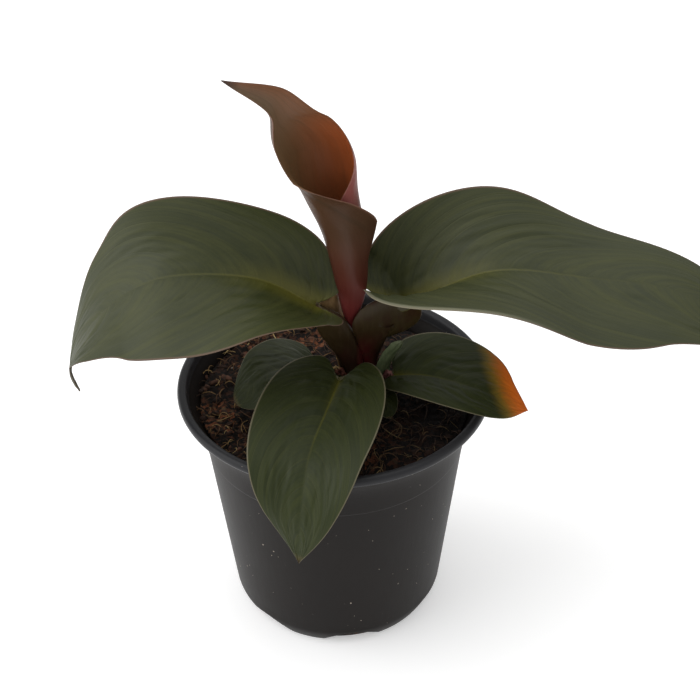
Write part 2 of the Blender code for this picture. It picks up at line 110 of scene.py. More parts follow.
class Finish:
    """A Principled material: fixed values on its shader, and nodes for what changes over a surface."""

    def __init__(self, name, fixed):
        self.made = bpy.data.materials.new(name)
        self.made.use_nodes = True
        self.tree = self.made.node_tree
        self.shader = self.tree.nodes["Principled BSDF"]
        self.feed(self.shader, fixed)

    def feed(self, node, values):
        for name, value in values.items():
            if isinstance(value, Signal):
                self.tree.links.new(value.output, node.inputs[name])
            else:
                node.inputs[name].default_value = value

    def node(self, kind, settings, values, output=0):
        """Adds a node. Its settings come first, `stops` being a colour ramp's, then its sockets."""
        made = self.tree.nodes.new("ShaderNode" + kind)
        for name, value in settings.items():
            if name != "stops":
                setattr(made, name, value)
                continue
            steps = made.color_ramp.elements
            while len(steps) < len(value):
                steps.new(0.5)
            for step, (place, colour) in zip(steps, value):
                step.position, step.color = place, (*colour, 1)
        self.feed(made, values)
        return Signal(self, made.outputs[output])

    def place(self):
        return self.node("TexCoord", {}, {}, "Object")

    def mapped(self, where, scale):
        """The pattern's coordinates drawn out: a smaller number on an axis makes longer marks."""
        return self.node("Mapping", {}, {"Vector": where, "Scale": scale})

    def noise(self, where, size, detail=2.0, roughness=0.5):
        values = {"Vector": where, "Scale": 1 / size, "Detail": detail, "Roughness": roughness}
        return self.node("TexNoise", {}, values)

    def mix(self, share, first, second):
        """Colour: first where share is 0 and second where it is 1."""
        ends = {0: share}
        for socket, colour in ((6, first), (7, second)):
            ends[socket] = colour if isinstance(colour, Signal) else (*colour, 1)
        return self.node("Mix", {"data_type": "RGBA"}, ends, 2)

    def attribute(self, name, output="Fac"):
        return self.node("Attribute", {"attribute_name": name}, {}, output)

    def axes(self, vector):
        """A vector's three numbers."""
        split = self.node("SeparateXYZ", {}, {"Vector": vector})
        return [Signal(self, output) for output in split.output.node.outputs]

    def bump(self, height, distance, strength=1.0):
        return self.node("Bump", {}, {"Height": height, "Distance": distance, "Strength": strength})

    def wear(self, values):
        self.feed(self.shader, values)


def smooth_path(knots, count):
    """A Catmull-Rom curve through the knots, read at evenly spaced lengths."""
    knots = np.array(knots, dtype=float)
    padded = np.vstack([2 * knots[0] - knots[1], knots, 2 * knots[-1] - knots[-2]])
    t = np.linspace(0, 1, 24, endpoint=False)[:, None]
    spans = []
    for a, b, c, d in zip(padded, padded[1:], padded[2:], padded[3:]):
        cubic = (3 * b - a - 3 * c + d) * t**3
        spans.append(0.5 * (2 * b + (c - a) * t + (2 * a - 5 * b + 4 * c - d) * t**2 + cubic))
    curve = np.vstack(spans + [knots[-1:]])
    run = np.concatenate([[0], np.cumsum(np.linalg.norm(np.diff(curve, axis=0), axis=1))])
    wanted = np.linspace(0, run[-1], count)
    return np.stack([np.interp(wanted, run, curve[:, axis]) for axis in range(curve.shape[1])], axis=1)


def smooth_step(value, low, high):
    share = np.clip((value - low) / (high - low), 0, 1)
    return share * share * (3 - 2 * share)


def build(name, grids, finish, attributes=None):
    """One piece from closed shells, each a grid of points, rows by columns, whose columns close up.

    A grid marked "ring" closes its rows too. Points that coincide, as at a pole, become one.
    Each attribute is a list of one array of numbers or vectors for each grid.
    """
    points, faces = [], []
    first = 0
    for grid, form in grids:
        rows, columns = grid.shape[:2]
        index = first + np.arange(rows * columns).reshape(rows, columns)
        index = np.hstack([index, index[:, :1]])
        if form == "ring":
            index = np.vstack([index, index[:1]])
        corners = (index[:-1, :-1], index[:-1, 1:], index[1:, 1:], index[1:, :-1])
        faces.append(np.stack(corners, axis=-1).reshape(-1, 4))
        points.append(grid.reshape(-1, 3))
        first += rows * columns
    points, faces = np.vstack(points), np.vstack(faces)
    mesh = bpy.data.meshes.new(name)
    mesh.vertices.add(len(points))
    mesh.vertices.foreach_set("co", points.astype(np.float32).ravel())
    mesh.loops.add(faces.size)
    mesh.loops.foreach_set("vertex_index", faces.astype(np.int32).ravel())
    mesh.polygons.add(len(faces))
    mesh.polygons.foreach_set("loop_start", np.arange(0, faces.size, 4, dtype=np.int32))
    mesh.polygons.foreach_set("loop_total", np.full(len(faces), 4, dtype=np.int32))
    mesh.update(calc_edges=True)
    for label, arrays in (attributes or {}).items():
        vector = arrays[0].ndim == 3
        kind, field = ("FLOAT_VECTOR", "vector") if vector else ("FLOAT", "value")
        made = mesh.attributes.new(label, kind, "POINT")
        made.data.foreach_set(field, np.concatenate([a.ravel() for a in arrays]).astype(np.float32))
    shell = bmesh.new()
    shell.from_mesh(mesh)
    bmesh.ops.remove_doubles(shell, verts=shell.verts, dist=2e-6)
    bmesh.ops.recalc_face_normals(shell, faces=shell.faces)
    shell.to_mesh(mesh)
    shell.free()
    mesh.shade_smooth()
    mesh.materials.append(finish.made)
    made = bpy.data.objects.new(name, mesh)
    bpy.context.scene.collection.objects.link(made)
    return made


def wall_radius(z):
    """The chamfer rises as a power curve, the wall as a straight taper, and the neck flares with the
    fourth power of the height above the shoulder."""
    chamfer = 1 - (1 - np.clip(z / HEEL_HEIGHT, 0, 1)) ** 1.6
    rise = np.clip((z - HEEL_HEIGHT) / (SHOULDER_HEIGHT - HEEL_HEIGHT), 0, None)
    neck = np.clip((z - SHOULDER_HEIGHT) / (NECK_HEIGHT - SHOULDER_HEIGHT), 0, None)
    taper = SHOULDER_RADIUS - HEEL_RADIUS
    at_neck = SHOULDER_RADIUS + taper * (NECK_HEIGHT - SHOULDER_HEIGHT) / (SHOULDER_HEIGHT - HEEL_HEIGHT)
    heel = BASE_RADIUS + (HEEL_RADIUS - BASE_RADIUS) * chamfer
    return heel + taper * rise + (NECK_RADIUS - at_neck) * neck**4


def arch_height(turn, radius):
    """Height of the arch over the ground at a sideways distance s from its middle: a circle's cap,
    h - R + sqrt(R^2 - s^2), and nothing between the arches."""
    pitch = 2 * math.pi / ARCH_COUNT
    off = (turn - ARCH_TURN + pitch / 2) % pitch - pitch / 2
    bow = (ARCH_WIDTH**2 / 4 + ARCH_HEIGHT**2) / (2 * ARCH_HEIGHT)
    s = radius * np.sin(off)
    return np.maximum(ARCH_HEIGHT - bow + np.sqrt(np.maximum(bow**2 - s**2, 0)), 0), np.abs(s)


def pot_wall():
    """A closed profile of (radius, height) turned round the upright axis: up the outside, over the
    bead, down the inside. Below the heel its heights are pressed up to clear the arches."""
    outer = np.concatenate(
        [
            np.linspace(0, HEEL_HEIGHT, 9),
            np.linspace(HEEL_HEIGHT, SHOULDER_HEIGHT - 0.5 * MM, 20)[1:],
            SHOULDER_HEIGHT + np.array([-0.3, -0.12, 0.05, 0.25]) * MM,
            np.linspace(SHOULDER_HEIGHT + 0.8 * MM, NECK_HEIGHT, 16),
        ]
    )
    step = smooth_step(outer, SHOULDER_HEIGHT - 0.3 * MM, SHOULDER_HEIGHT + 0.2 * MM)
    up = np.stack([wall_radius(outer) + SHOULDER_STEP * step, outer], axis=1)
    out, drop = np.array(BEAD).T * MM
    bead = smooth_path(np.stack([RIM_RADIUS - BEAD_WIDTH + out, POT_HEIGHT - drop], axis=1), 26)
    high = np.linspace(NECK_HEIGHT - 1 * MM, HEEL_HEIGHT, 18)
    inner = np.concatenate([high, np.linspace(HEEL_HEIGHT, 0, 6)[1:]])
    down = np.stack([wall_radius(inner) - WALL, inner], axis=1)
    profile = np.vstack([up, bead, down])
    turn = np.arange(POT_STEPS) * 2 * math.pi / POT_STEPS
    radius, z = np.repeat(profile[:, :1], POT_STEPS, axis=1), np.repeat(profile[:, 1:], POT_STEPS, axis=1)
    lift = arch_height(turn, BASE_RADIUS)[0][None, :]
    low = z < HEEL_HEIGHT
    z = np.where(low, lift + z * (1 - lift / HEEL_HEIGHT), z)
    inside = (np.arange(len(profile)) >= len(up) + len(bead))[:, None]
    radius = np.where(low, wall_radius(z) - np.where(inside, WALL, 0), radius)
    oval = 1 + 0.0016 * np.sin(2 * turn + 0.7) * smooth_step(z, 20 * MM, 100 * MM)
    return np.stack([radius * oval * np.cos(turn), radius * oval * np.sin(turn), z], axis=-1)


def pot_floor():
    """A flat disc whose edge stops short behind each arch, with a shallow round recess beneath."""
    turn = np.arange(POT_STEPS) * 2 * math.pi / POT_STEPS
    sideways = arch_height(turn, BASE_RADIUS)[1]
    behind = 1 - smooth_step(sideways, 0.46 * ARCH_WIDTH, 0.5 * ARCH_WIDTH)
    edge = BASE_RADIUS - 0.5 * MM - (ARCH_REACH - 0.5 * MM) * behind
    share = np.array([0, 0.3, 0.6, 0.74, 0.76, 0.9, 0.99, 1])
    recess = 0.35 * MM * np.array([1, 1, 1, 1, 0, 0, 0, 0])
    below = np.stack([share[:, None] * edge, np.repeat(recess[:, None], POT_STEPS, axis=1)], axis=-1)
    above = np.stack([share[::-1, None] * edge, np.full((len(share), POT_STEPS), WALL)], axis=-1)
    rows = np.concatenate([below, above])
    return np.stack([rows[..., 0] * np.cos(turn), rows[..., 0] * np.sin(turn), rows[..., 1]], axis=-1)


def pot_plastic():
    """Black polypropylene: fine moulding grain, faint drag marks, specks of dried mix and dust, and
    a bead painted lighter grey than the wall as a painted highlight.
    """
    black = Finish("pot_plastic", {"Specular IOR Level": 0.13})
    where = black.place()
    x, y, z = black.axes(where)
    cloud = black.noise(where, 34 * MM, 4)
    grain = black.noise(where, 0.5 * MM, 2)
    drag = black.noise(black.mapped(where, (1, 1, 0.12)), 1.6 * MM, 3)
    speck = black.noise(where, 1.5 * MM, 1).ramp(0.755, 0.79)
    patch = black.noise(where, 19 * MM, 1).ramp(0.5, 0.6)
    dust = speck * patch
    lip = z.ramp(NECK_HEIGHT, NECK_HEIGHT + 0.6 * MM)
    wall = black.mix(cloud, (0.0045, 0.0032, 0.0026), (0.010, 0.0072, 0.0058))
    # Painted highlight: the bead above the neck is painted a lighter grey than the wall, on top of its lower
    # roughness.
    colour = black.mix(lip, wall, (0.026, 0.026, 0.028))
    colour = black.mix(dust, colour, (0.42, 0.36, 0.3))
    rough = 0.38 + 0.1 * cloud - 0.14 * lip + 0.3 * dust + 0.05 * drag
    black.wear(
        {
            "Base Color": colour,
            "Roughness": rough,
            "Normal": black.bump(0.5 * grain + 0.35 * drag + dust, 0.08 * MM, 0.6),
        }
    )
    return black


pot = build("nursery_pot", [(pot_wall(), "ring"), (pot_floor(), "open")], pot_plastic())
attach(pot, "root")
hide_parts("pot")

# ---------------------------------------------------------------- potting mix
# Peat and coir, filled to a centimetre below the rim and firmed by hand. It is loose crumbs with
# coir fibres, bits of bark and a little perlite on top, and it holds the crown and the roots.

MIX_LEVEL = POT_HEIGHT - 10 * MM
CROWN = np.array((12 * MM, 10 * MM, MIX_LEVEL + 3 * MM))
MIX_GAP = 0.5 * MM
FIBRE_COUNT, BARK_COUNT, PERLITE_COUNT = 680, 260, 9
mix_dice = np.random.default_rng(41)


def lumps(x, y, size, seed):
    """Random heights at the corners of square cells, eased between the corners."""
    lattice = np.random.default_rng(seed).uniform(-1, 1, (97, 97))
    px, py = x / size + 40, y / size + 40
    i, j = np.floor(px).astype(int), np.floor(py).astype(int)
    u, v = smooth_step(px - i, 0, 1), smooth_step(py - j, 0, 1)
    i, j, i1, j1 = i % 97, j % 97, (i + 1) % 97, (j + 1) % 97
    near = lattice[i, j] * (1 - u) + lattice[i1, j] * u
    return near * (1 - v) + (lattice[i, j1] * (1 - u) + lattice[i1, j1] * u) * v


def mix_height(x, y):
    """A low dome, with crumbs as the sum of five sizes of lumps and a hollow round the crown."""
    radius = np.hypot(x, y)
    dome = MIX_LEVEL + 0.6 * MM * (1 - (radius / (58 * MM)) ** 2)
    crumbs = 1.5 * lumps(x, y, 13 * MM, 1) + 0.9 * lumps(x, y, 5.5 * MM, 2)
    fine = 0.75 * np.abs(lumps(x, y, 2.6 * MM, 3)) + 0.5 * np.abs(lumps(x, y, 1.4 * MM, 4))
    fine = fine + 0.25 * lumps(x, y, 0.8 * MM, 5)
    return dome + (crumbs + fine) * MM * (1 - 0.7 * smooth_step(radius, 52 * MM, 59 * MM))


def mix_body():
    """Rings of points: the underside, up the pot's inner wall, then the crumbly top to its middle."""
    steps = 460
    turn = np.arange(steps) * 2 * math.pi / steps
    side = np.array([1.4 * MM, 4 * MM, HEEL_HEIGHT, 0.5 * MIX_LEVEL, SHOULDER_HEIGHT, MIX_LEVEL - 3 * MM])
    reach = wall_radius(side) - WALL - MIX_GAP
    reach = np.concatenate([[0, reach[0] - 0.8 * MM], reach])[:, None]
    side = np.concatenate([[side[0]] * 2, side])[:, None]
    low = np.stack([reach * np.cos(turn), reach * np.sin(turn), np.repeat(side, steps, axis=1)], axis=-1)
    share = np.concatenate([[1], np.linspace(0.995, 0.012, 122), [0]])[:, None]
    edge = wall_radius(np.array(MIX_LEVEL)) - WALL - MIX_GAP
    x, y = share * edge * np.cos(turn), share * edge * np.sin(turn)
    z = mix_height(x, y)
    z[0] -= 1.2 * MM
    z[-1] = z[-1].mean()
    return np.concatenate([low, np.stack([x, y, z], axis=-1)])


def peat():
    """Dark crumbs, with redder and paler ones among them, and painted shade that darkens the mix
    towards +x.
    """
    mix = Finish("peat_and_coir", {"Specular IOR Level": 0.25})
    where = mix.place()
    crumb = mix.node("TexVoronoi", {}, {"Vector": where, "Scale": 1 / (1.5 * MM)}, "Color")
    hue = mix.axes(crumb)
    patch = mix.noise(where, 16 * MM, 3).ramp(0.42, 0.62)
    fine = mix.noise(where, 0.55 * MM, 4)
    brown = hue[0].ramp(0.45, 0.95) * (0.15 + 0.85 * patch)
    colour = mix.mix(brown, (0.005, 0.003, 0.002), (0.19, 0.066, 0.028))
    colour = mix.mix(hue[1].ramp(0.86, 0.96) * patch * 0.6, colour, (0.2, 0.12, 0.06))
    x, y, z = mix.axes(where)
    # Painted shade: the mix is darkened towards +x, the side away from the left lamp.
    colour = mix.mix(x.ramp(-10 * MM, 30 * MM) * 0.85, colour, (0.003, 0.002, 0.002))
    mix.wear({"Base Color": colour, "Roughness": 0.8 + 0.2 * fine, "Normal": mix.bump(fine, 0.5 * MM, 0.9)})
    return mix


def fibre_tubes(count, shortest, longest, thinnest, thickest):
    """Round threads, each a ring carried along an arc that turns at a steady rate over the mix and
    rises as a half sine. Each thread is a grid of its own, so that it closes at both ends."""
    rows, sides = 9, 5
    radius = 57 * MM * np.sqrt(mix_dice.uniform(0, 1, count))
    around = mix_dice.uniform(0, 2 * math.pi, count)
    length = mix_dice.uniform(shortest, longest, count) * (1 - 0.55 * (radius / (57 * MM)) ** 4)
    t = np.linspace(0, 1, rows)
    heading = mix_dice.uniform(0, 2 * math.pi, count)[:, None]
    heading = heading + mix_dice.normal(0, 1.6, count)[:, None] * (t - 0.5)
    step = np.stack([np.cos(heading), np.sin(heading)], axis=-1) * (length / rows)[:, None, None]
    flat = np.cumsum(step, axis=1) - step.sum(axis=1, keepdims=True) / 2
    flat = flat + np.stack([radius * np.cos(around), radius * np.sin(around)], axis=-1)[:, None]
    limit = (59 * MM) / np.maximum(np.hypot(flat[..., 0], flat[..., 1]), 59 * MM)
    flat = flat * limit[..., None]
    rise = mix_dice.uniform(0.1, 2.2, count)[:, None] * MM * np.sin(math.pi * t)
    tilt = mix_dice.normal(0, 0.6, count)[:, None] * MM * (t - 0.5)
    z = mix_height(flat[..., 0], flat[..., 1]) * 0.35 + (MIX_LEVEL + 0.9 * MM) * 0.65 + rise + tilt
    path = np.concatenate([flat, z[..., None]], axis=-1)
    side = np.stack([-np.sin(heading), np.cos(heading), 0 * heading], axis=-1)
    blunt = np.sqrt(np.clip(1 - (2 * t - 1) ** 4, 0, 1))
    thick = mix_dice.uniform(thinnest, thickest, count)[:, None] * blunt
    lap = np.arange(sides) * 2 * math.pi / sides
    ring = np.cos(lap)[:, None] * side[:, :, None] + np.sin(lap)[:, None] * np.array((0, 0, 1))
    return path[:, :, None] + ring * thick[:, :, None, None]


def coir():
    """Fibres from straw to dark brown, with painted shade that darkens them towards +x; `tone` is one
    number for each fibre.
    """
    thread = Finish("coir_fibre", {"Specular IOR Level": 0.3, "Roughness": 0.75})
    tone = thread.attribute("tone")
    stops = [
        (0, (0.02, 0.011, 0.007)),
        (0.4, (0.12, 0.055, 0.022)),
        (0.65, (0.34, 0.21, 0.08)),
        (1, (0.6, 0.45, 0.2)),
    ]
    colour = thread.node("ValToRGB", {"stops": stops}, {"Fac": tone})
    fleck = thread.noise(thread.place(), 0.9 * MM, 2)
    x, y, z = thread.axes(thread.place())
    # Painted shade: the fibres are darkened towards +x, the side away from the left lamp.
    colour = thread.mix(x.ramp(-5 * MM, 30 * MM) * 0.75, colour, (0.02, 0.011, 0.007))
    colour = thread.mix(0.5 * fleck, colour, (0.04, 0.022, 0.014))
    thread.wear({"Base Color": colour, "Normal": thread.bump(fleck, 0.1 * MM, 0.5)})
    return thread


def grains(count, smallest, largest, flatness, sunk, spread):
    """Angular bits: each a coarse sphere squared off by a power, stretched, turned and part sunk."""
    rows, sides = 5, 7
    polar = np.linspace(0, math.pi, rows)[:, None]
    lap = np.arange(sides) * 2 * math.pi / sides
    out, up = np.sin(polar), np.cos(polar) + 0 * lap
    ball = np.stack([out * np.cos(lap), out * np.sin(lap), up], axis=-1)
    ball = np.sign(ball) * np.abs(ball) ** 0.7
    rough = 1 + mix_dice.uniform(-0.25, 0.25, (count, rows, sides, 1))
    rough[:, 0], rough[:, -1] = 1, 1
    size = mix_dice.uniform(smallest, largest, (count, 1))
    narrow = mix_dice.uniform(0.35, 0.8, count)
    size = size * np.stack([np.ones(count), narrow, np.full(count, flatness)], axis=1)
    bits = ball * rough * size[:, None, None, :]
    turn, lean = mix_dice.uniform(0, 2 * math.pi, count), mix_dice.normal(0, 0.45, count)
    c, s = np.cos(lean)[:, None, None], np.sin(lean)[:, None, None]
    x, z = bits[..., 0] * c + bits[..., 2] * s, bits[..., 2] * c - bits[..., 0] * s
    y, c, s = bits[..., 1], np.cos(turn)[:, None, None], np.sin(turn)[:, None, None]
    radius, around = spread * np.sqrt(mix_dice.uniform(0, 1, count)), mix_dice.uniform(0, 2 * math.pi, count)
    px, py = radius * np.cos(around), radius * np.sin(around)
    pz = mix_height(px, py) - sunk * size[:, 2]
    place = np.stack([px, py, pz], axis=-1)[:, None, None]
    return np.stack([x * c - y * s, x * s + y * c, z], axis=-1) + place


def bark():
    """Brown chips, from dark to reddish by `tone`, and painted darker away from the light as painted
    shade.
    """
    chip = Finish("bark_bits", {"Specular IOR Level": 0.25, "Roughness": 0.85})
    where = chip.place()
    ring = chip.noise(chip.mapped(where, (1, 1, 4)), 1.2 * MM, 3)
    tone = chip.attribute("tone")
    colour = chip.mix(tone, (0.016, 0.01, 0.008), (0.12, 0.052, 0.03))
    x, y, z = chip.axes(where)
    # Painted shade: the chips are darkened towards +x, the side away from the left lamp.
    colour = chip.mix(x.ramp(-10 * MM, 30 * MM) * 0.8, colour, (0.006, 0.004, 0.003))
    colour = chip.mix(0.6 * ring, colour, (0.03, 0.016, 0.011))
    chip.wear({"Base Color": colour, "Normal": chip.bump(ring, 0.3 * MM, 0.8)})
    return chip


def perlite():
    """Off-white grains with fine pits."""
    white = Finish("perlite", {"Specular IOR Level": 0.3, "Roughness": 0.9})
    pit = white.noise(white.place(), 0.5 * MM, 3)
    colour = white.mix(pit, (0.62, 0.58, 0.52), (0.3, 0.27, 0.23))
    white.wear({"Base Color": colour, "Normal": white.bump(pit, 0.2 * MM, 0.8)})
    return white


mix_bed = build("potting_mix_bed", [(mix_body(), "open")], peat())
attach(mix_bed, "root")
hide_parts("potting_mix")

threads = fibre_tubes(FIBRE_COUNT, 4 * MM, 18 * MM, 0.08 * MM, 0.26 * MM)
tone = np.repeat(mix_dice.beta(1.3, 1.8, FIBRE_COUNT), threads[0].size // 3)
coir_fibres = build("coir_fibres", [(thread, "open") for thread in threads], coir(), {"tone": [tone]})
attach(coir_fibres, "root")

chips = grains(BARK_COUNT, 0.7 * MM, 2.4 * MM, 0.4, 0.2, 57 * MM)
tone = np.repeat(mix_dice.uniform(0, 1, BARK_COUNT) ** 1.6, chips[0].size // 3)
bark_bits = build("bark_bits", [(chip, "open") for chip in chips], bark(), {"tone": [tone]})
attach(bark_bits, "root")

bits = grains(PERLITE_COUNT, 0.5 * MM, 0.9 * MM, 0.8, 0.1, 54 * MM)
perlite_bits = build("perlite_bits", [(bit, "open") for bit in bits], perlite())
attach(perlite_bits, "root")

# ---------------------------------------------------------------- crown and roots
# The short stem that the leaves grow from, corky and ringed with old leaf scars, and the main
# roots that run down from it into the mix.

CROWN_RADIUS, CROWN_DEPTH = 12 * MM, 22 * MM
ROOT_COUNT, ROOT_RADIUS, ROOT_SPREAD, ROOT_DROP = 7, 1.5 * MM, 24 * MM, 46 * MM


def unit(vectors):
    return vectors / np.linalg.norm(vectors, axis=-1, keepdims=True)


def base_middle_tip(values, t):
    """A quadratic that takes its three values at t = 0, 0.5 and 1."""
    base, middle, tip = values
    return base * (1 - t) * (1 - 2 * t) + middle * 4 * t * (1 - t) + tip * t * (2 * t - 1)


def path_frames(path, facing, twist=(0, 0, 0)):
    """Tangent, side and normal along a path: the first normal faces `facing`, each next one is the
    last one made square to the path, and twist, in degrees, turns them about it."""
    tangent = unit(np.gradient(path, axis=0))
    normal = np.zeros_like(tangent)
    current = np.array(facing, dtype=float)
    for row, along in enumerate(tangent):
        current = unit(current - current.dot(along) * along)
        normal[row] = current
    side = np.cross(tangent, normal)
    turn = np.radians(base_middle_tip(twist, np.linspace(0, 1, len(path))))[:, None]
    return tangent, side * np.cos(turn) + normal * np.sin(turn), normal * np.cos(turn) - side * np.sin(turn)


def tube(path, facing, wide, deep, sides):
    """An oval of half sizes wide and deep carried along a path, and drawn to a point at each end.
    Rows by columns of points."""
    _, across, normal = path_frames(path, facing)
    lap = np.arange(sides) * 2 * math.pi / sides
    body = path[:, None] + np.cos(lap)[:, None] * across[:, None] * wide[..., None]
    body = body + np.sin(lap)[:, None] * normal[:, None] * deep[..., None]
    ends = [np.repeat(path[end][None, None], sides, axis=1) for end in (0, -1)]
    return np.concatenate([ends[0], body, ends[1]])


def crown_knob():
    """A turned knob whose radius swells and shrinks with height, as a stack of leaf scars."""
    sides = 72
    turn = np.arange(sides) * 2 * math.pi / sides
    rise = np.linspace(0, 1, 40)[:, None]
    belly = np.sqrt(np.clip(1 - np.abs(2 * rise - 1) ** 3.2, 0, 1))
    scars = 1 + 0.03 * np.sin(rise * 40 + 0.6 * np.sin(turn)) + 0.03 * np.sin(3 * turn + 5 * rise)
    radius = 0.95 * CROWN_RADIUS * belly * scars
    z = CROWN[2] - CROWN_DEPTH * (1 - rise) + 0 * turn
    return np.stack([CROWN[0] + radius * np.cos(turn), CROWN[1] + radius * np.sin(turn), z], axis=-1)


def crown_root(number):
    """A tapering tube along a curve that leaves the crown's side and turns down."""
    turn = number * 2 * math.pi / ROOT_COUNT + 0.3 * math.sin(5 * number)
    reach = ROOT_SPREAD * (1 + 0.18 * math.cos(3 * number))
    outward, rise = np.array((math.cos(turn), math.sin(turn), 0)), np.array((0, 0, 1))
    start, level = CROWN_RADIUS - 3 * ROOT_RADIUS, -CROWN_DEPTH * (0.45 + 0.08 * math.cos(2 * number))
    knots = [
        CROWN + outward * start + rise * level,
        CROWN + outward * (start + 10 * MM) + rise * (level - 3 * MM),
        CROWN + outward * 0.85 * reach + rise * 0.5 * (level - ROOT_DROP),
        CROWN + outward * reach - rise * ROOT_DROP,
    ]
    path = smooth_path(knots, 40)
    wander = 0.25 * MM * np.sin(np.linspace(0, 30, 40) + number)[:, None] * outward
    taper = ROOT_RADIUS * (1 - 0.65 * np.linspace(0, 1, 40))[:, None] + np.zeros(12)
    return tube(path + wander, rise, taper, taper, 12)


def corky():
    """Rough brown bark ringed across the stem, fresher and redder where it stands out of the mix."""
    cork = Finish("crown_cork", {"Specular IOR Level": 0.3})
    where = cork.place()
    ring = cork.noise(cork.mapped(where, (1, 1, 3)), 2 * MM, 4)
    x, y, z = cork.axes(where)
    fresh = z.ramp(MIX_LEVEL - 2 * MM, CROWN[2])
    colour = cork.mix(ring, (0.05, 0.022, 0.015), (0.15, 0.07, 0.045))
    colour = cork.mix(0.55 * fresh, colour, (0.13, 0.045, 0.03))
    cork.wear({"Base Color": colour, "Roughness": 0.6 + 0.3 * ring, "Normal": cork.bump(ring, 0.4 * MM, 0.8)})
    return cork


crown_parts = [crown_knob()] + [crown_root(number) for number in range(ROOT_COUNT)]
crown = build("crown_with_roots", [(part, "open") for part in crown_parts], corky())
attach(crown, "root")
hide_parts("crown_and_roots")

# ---------------------------------------------------------------- grown leaves
# Six leathery green blades. Each is a lobed heart with a pointed tip, ribbed by side veins that
# sweep towards the tip, and stiffened by a midrib that stands proud underneath.


def from_crown(knots):
    """Millimetres from the middle of the crown's top, turned into places in the model."""
    return np.array(knots, dtype=float) * MM + CROWN


def read_at(rows, where):
    """Rows of vectors read at fractions of their length."""
    place, known = where * (len(rows) - 1), np.arange(len(rows))
    return np.stack([np.interp(place, known, rows[:, axis]) for axis in range(3)], axis=-1)


def leaf_half(leaf, side, rows, columns, path, vectors):
    """Half of a blade from midrib to margin: its middle sheet, side share and length share.

    The flat outline is a rounded lobe behind the stalk, a bulge and a pointed tip. Each row of it
    is bent into an arc that leaves the midrib at the fold angle and turns by the curl angle.
    """
    tangent, across, normal = vectors
    sign = (1, -1)[side]
    width, lobe = leaf["half_width"][side] * MM, leaf["lobe"][side] * MM
    length = np.linalg.norm(np.diff(path, axis=0), axis=1).sum()
    fullness, taper, notch = leaf["outline"]
    phase = np.linspace(0, math.pi, rows)
    share = (1 - np.cos(phase)) / 2
    margin_x = (length + lobe) * share - lobe * (1 - np.exp(-((phase / notch) ** 2)))
    eased = np.clip(phase**fullness * math.pi ** (1 - fullness), 0, math.pi)
    margin_y = width * np.sin(eased) ** taper * (1 - share**8) ** leaf.get("point", 0)
    rib_x = length * share**1.15
    step = np.linspace(0, 1, columns)[None, :] ** 0.9
    x = rib_x[:, None] + (margin_x - rib_x)[:, None] * step
    y = margin_y[:, None] * step
    t = np.clip(x / length, 0, 1)
    fold = np.radians(base_middle_tip(leaf["fold"][side], t))
    bend = np.radians(base_middle_tip(leaf["curl"][side], t)) / width
    bend = np.where(np.abs(bend) < 1e-3, 1e-3, bend)
    out = (np.sin(fold + bend * y) - np.sin(fold)) / bend
    up = (np.cos(fold) - np.cos(fold + bend * y)) / bend
    behind = np.array(leaf["behind"]) if "behind" in leaf else tangent[0]
    rib = read_at(path, t) + np.minimum(x, 0)[..., None] * behind
    sheet = rib + sign * out[..., None] * read_at(across, t) + up[..., None] * read_at(normal, t)
    return sheet, sign * y, step + 0 * y, t


def swelling(leaf, y, step, rows):
    """Height of the blade's relief, in metres: side veins as sharp valleys of a cosine that follows
    rows swept towards the tip, a shallow channel along the midrib, and slow waves at the margin."""
    phase = np.linspace(0, 1, rows)[:, None]
    order = (phase - leaf["sweep"] * step**1.6) * leaf["veins"] + np.where(y < 0, 0.37, 0)
    quilt = np.abs(np.sin(math.pi * order)) ** 0.7 * np.clip(step * 6, 0, 1) * (1 - step**6)
    channel = np.exp(-((y / (0.9 * MM)) ** 2)) * (1 - phase)
    wave = np.sin(2 * math.pi * (phase * leaf["waves"] + np.where(y < 0, 0.3, 0))) * step**2
    ends = np.sin(math.pi * phase) ** 0.5
    uneven = 0.5 + 0.5 * lumps(order, 2.5 * step, 1.4, leaf["veins"])
    folds = lumps(order, 2 * step, 0.9, 7) + 0.5 * lumps(order, 5 * step, 0.4, 8)
    silk = 0.6 * folds * np.sin(math.pi * np.clip(1.2 * step, 0, 1)) + leaf["quilt"] * quilt * uneven
    height = silk * ends - 0.35 * channel + leaf["wave"] * wave * ends
    return height * MM, order


def closed_blade(sheet, relief, upper, lower):
    """Closes a middle sheet into a body: its top is the sheet raised along its normal by the relief
    and `upper`, its underside lowered by `lower`, and each margin is rounded by one row between."""
    down, over = np.gradient(sheet, axis=0), np.gradient(sheet, axis=1)
    normal = np.cross(over, down)
    size = np.linalg.norm(normal, axis=-1, keepdims=True)
    normal = normal / np.maximum(size, 1e-15)
    normal[0], normal[-1] = normal[1], normal[-2]
    top = sheet + normal * (relief + upper)[..., None]
    bottom = sheet + normal * (relief - lower)[..., None]
    margins = []
    for end, beside in ((0, 1), (-1, -2)):
        outward = unit_or_none(sheet[:, end] - sheet[:, beside]) * upper[:, end, None]
        margins.append((sheet[:, end] + normal[:, end] * relief[:, end, None] + outward)[:, None])
    return np.concatenate([top, margins[1], bottom[:, ::-1], margins[0]], axis=1)


def unit_or_none(vectors):
    """Unit vectors, and nothing where a vector has no length."""
    return vectors / np.maximum(np.linalg.norm(vectors, axis=-1, keepdims=True), 1e-9)


def around(values):
    """A quantity over the sheet, laid out over the closed body's columns."""
    return np.concatenate([values, values[:, -1:], values[:, ::-1], values[:, :1]], axis=1)


def by_skin(values, upper, margin, lower):
    """One number for each of the closed body's skins and for its margins."""
    over = np.full_like(values, upper)
    rim = np.full_like(values[:, :1], margin)
    return np.concatenate([over, rim, np.full_like(values, lower), rim], axis=1)


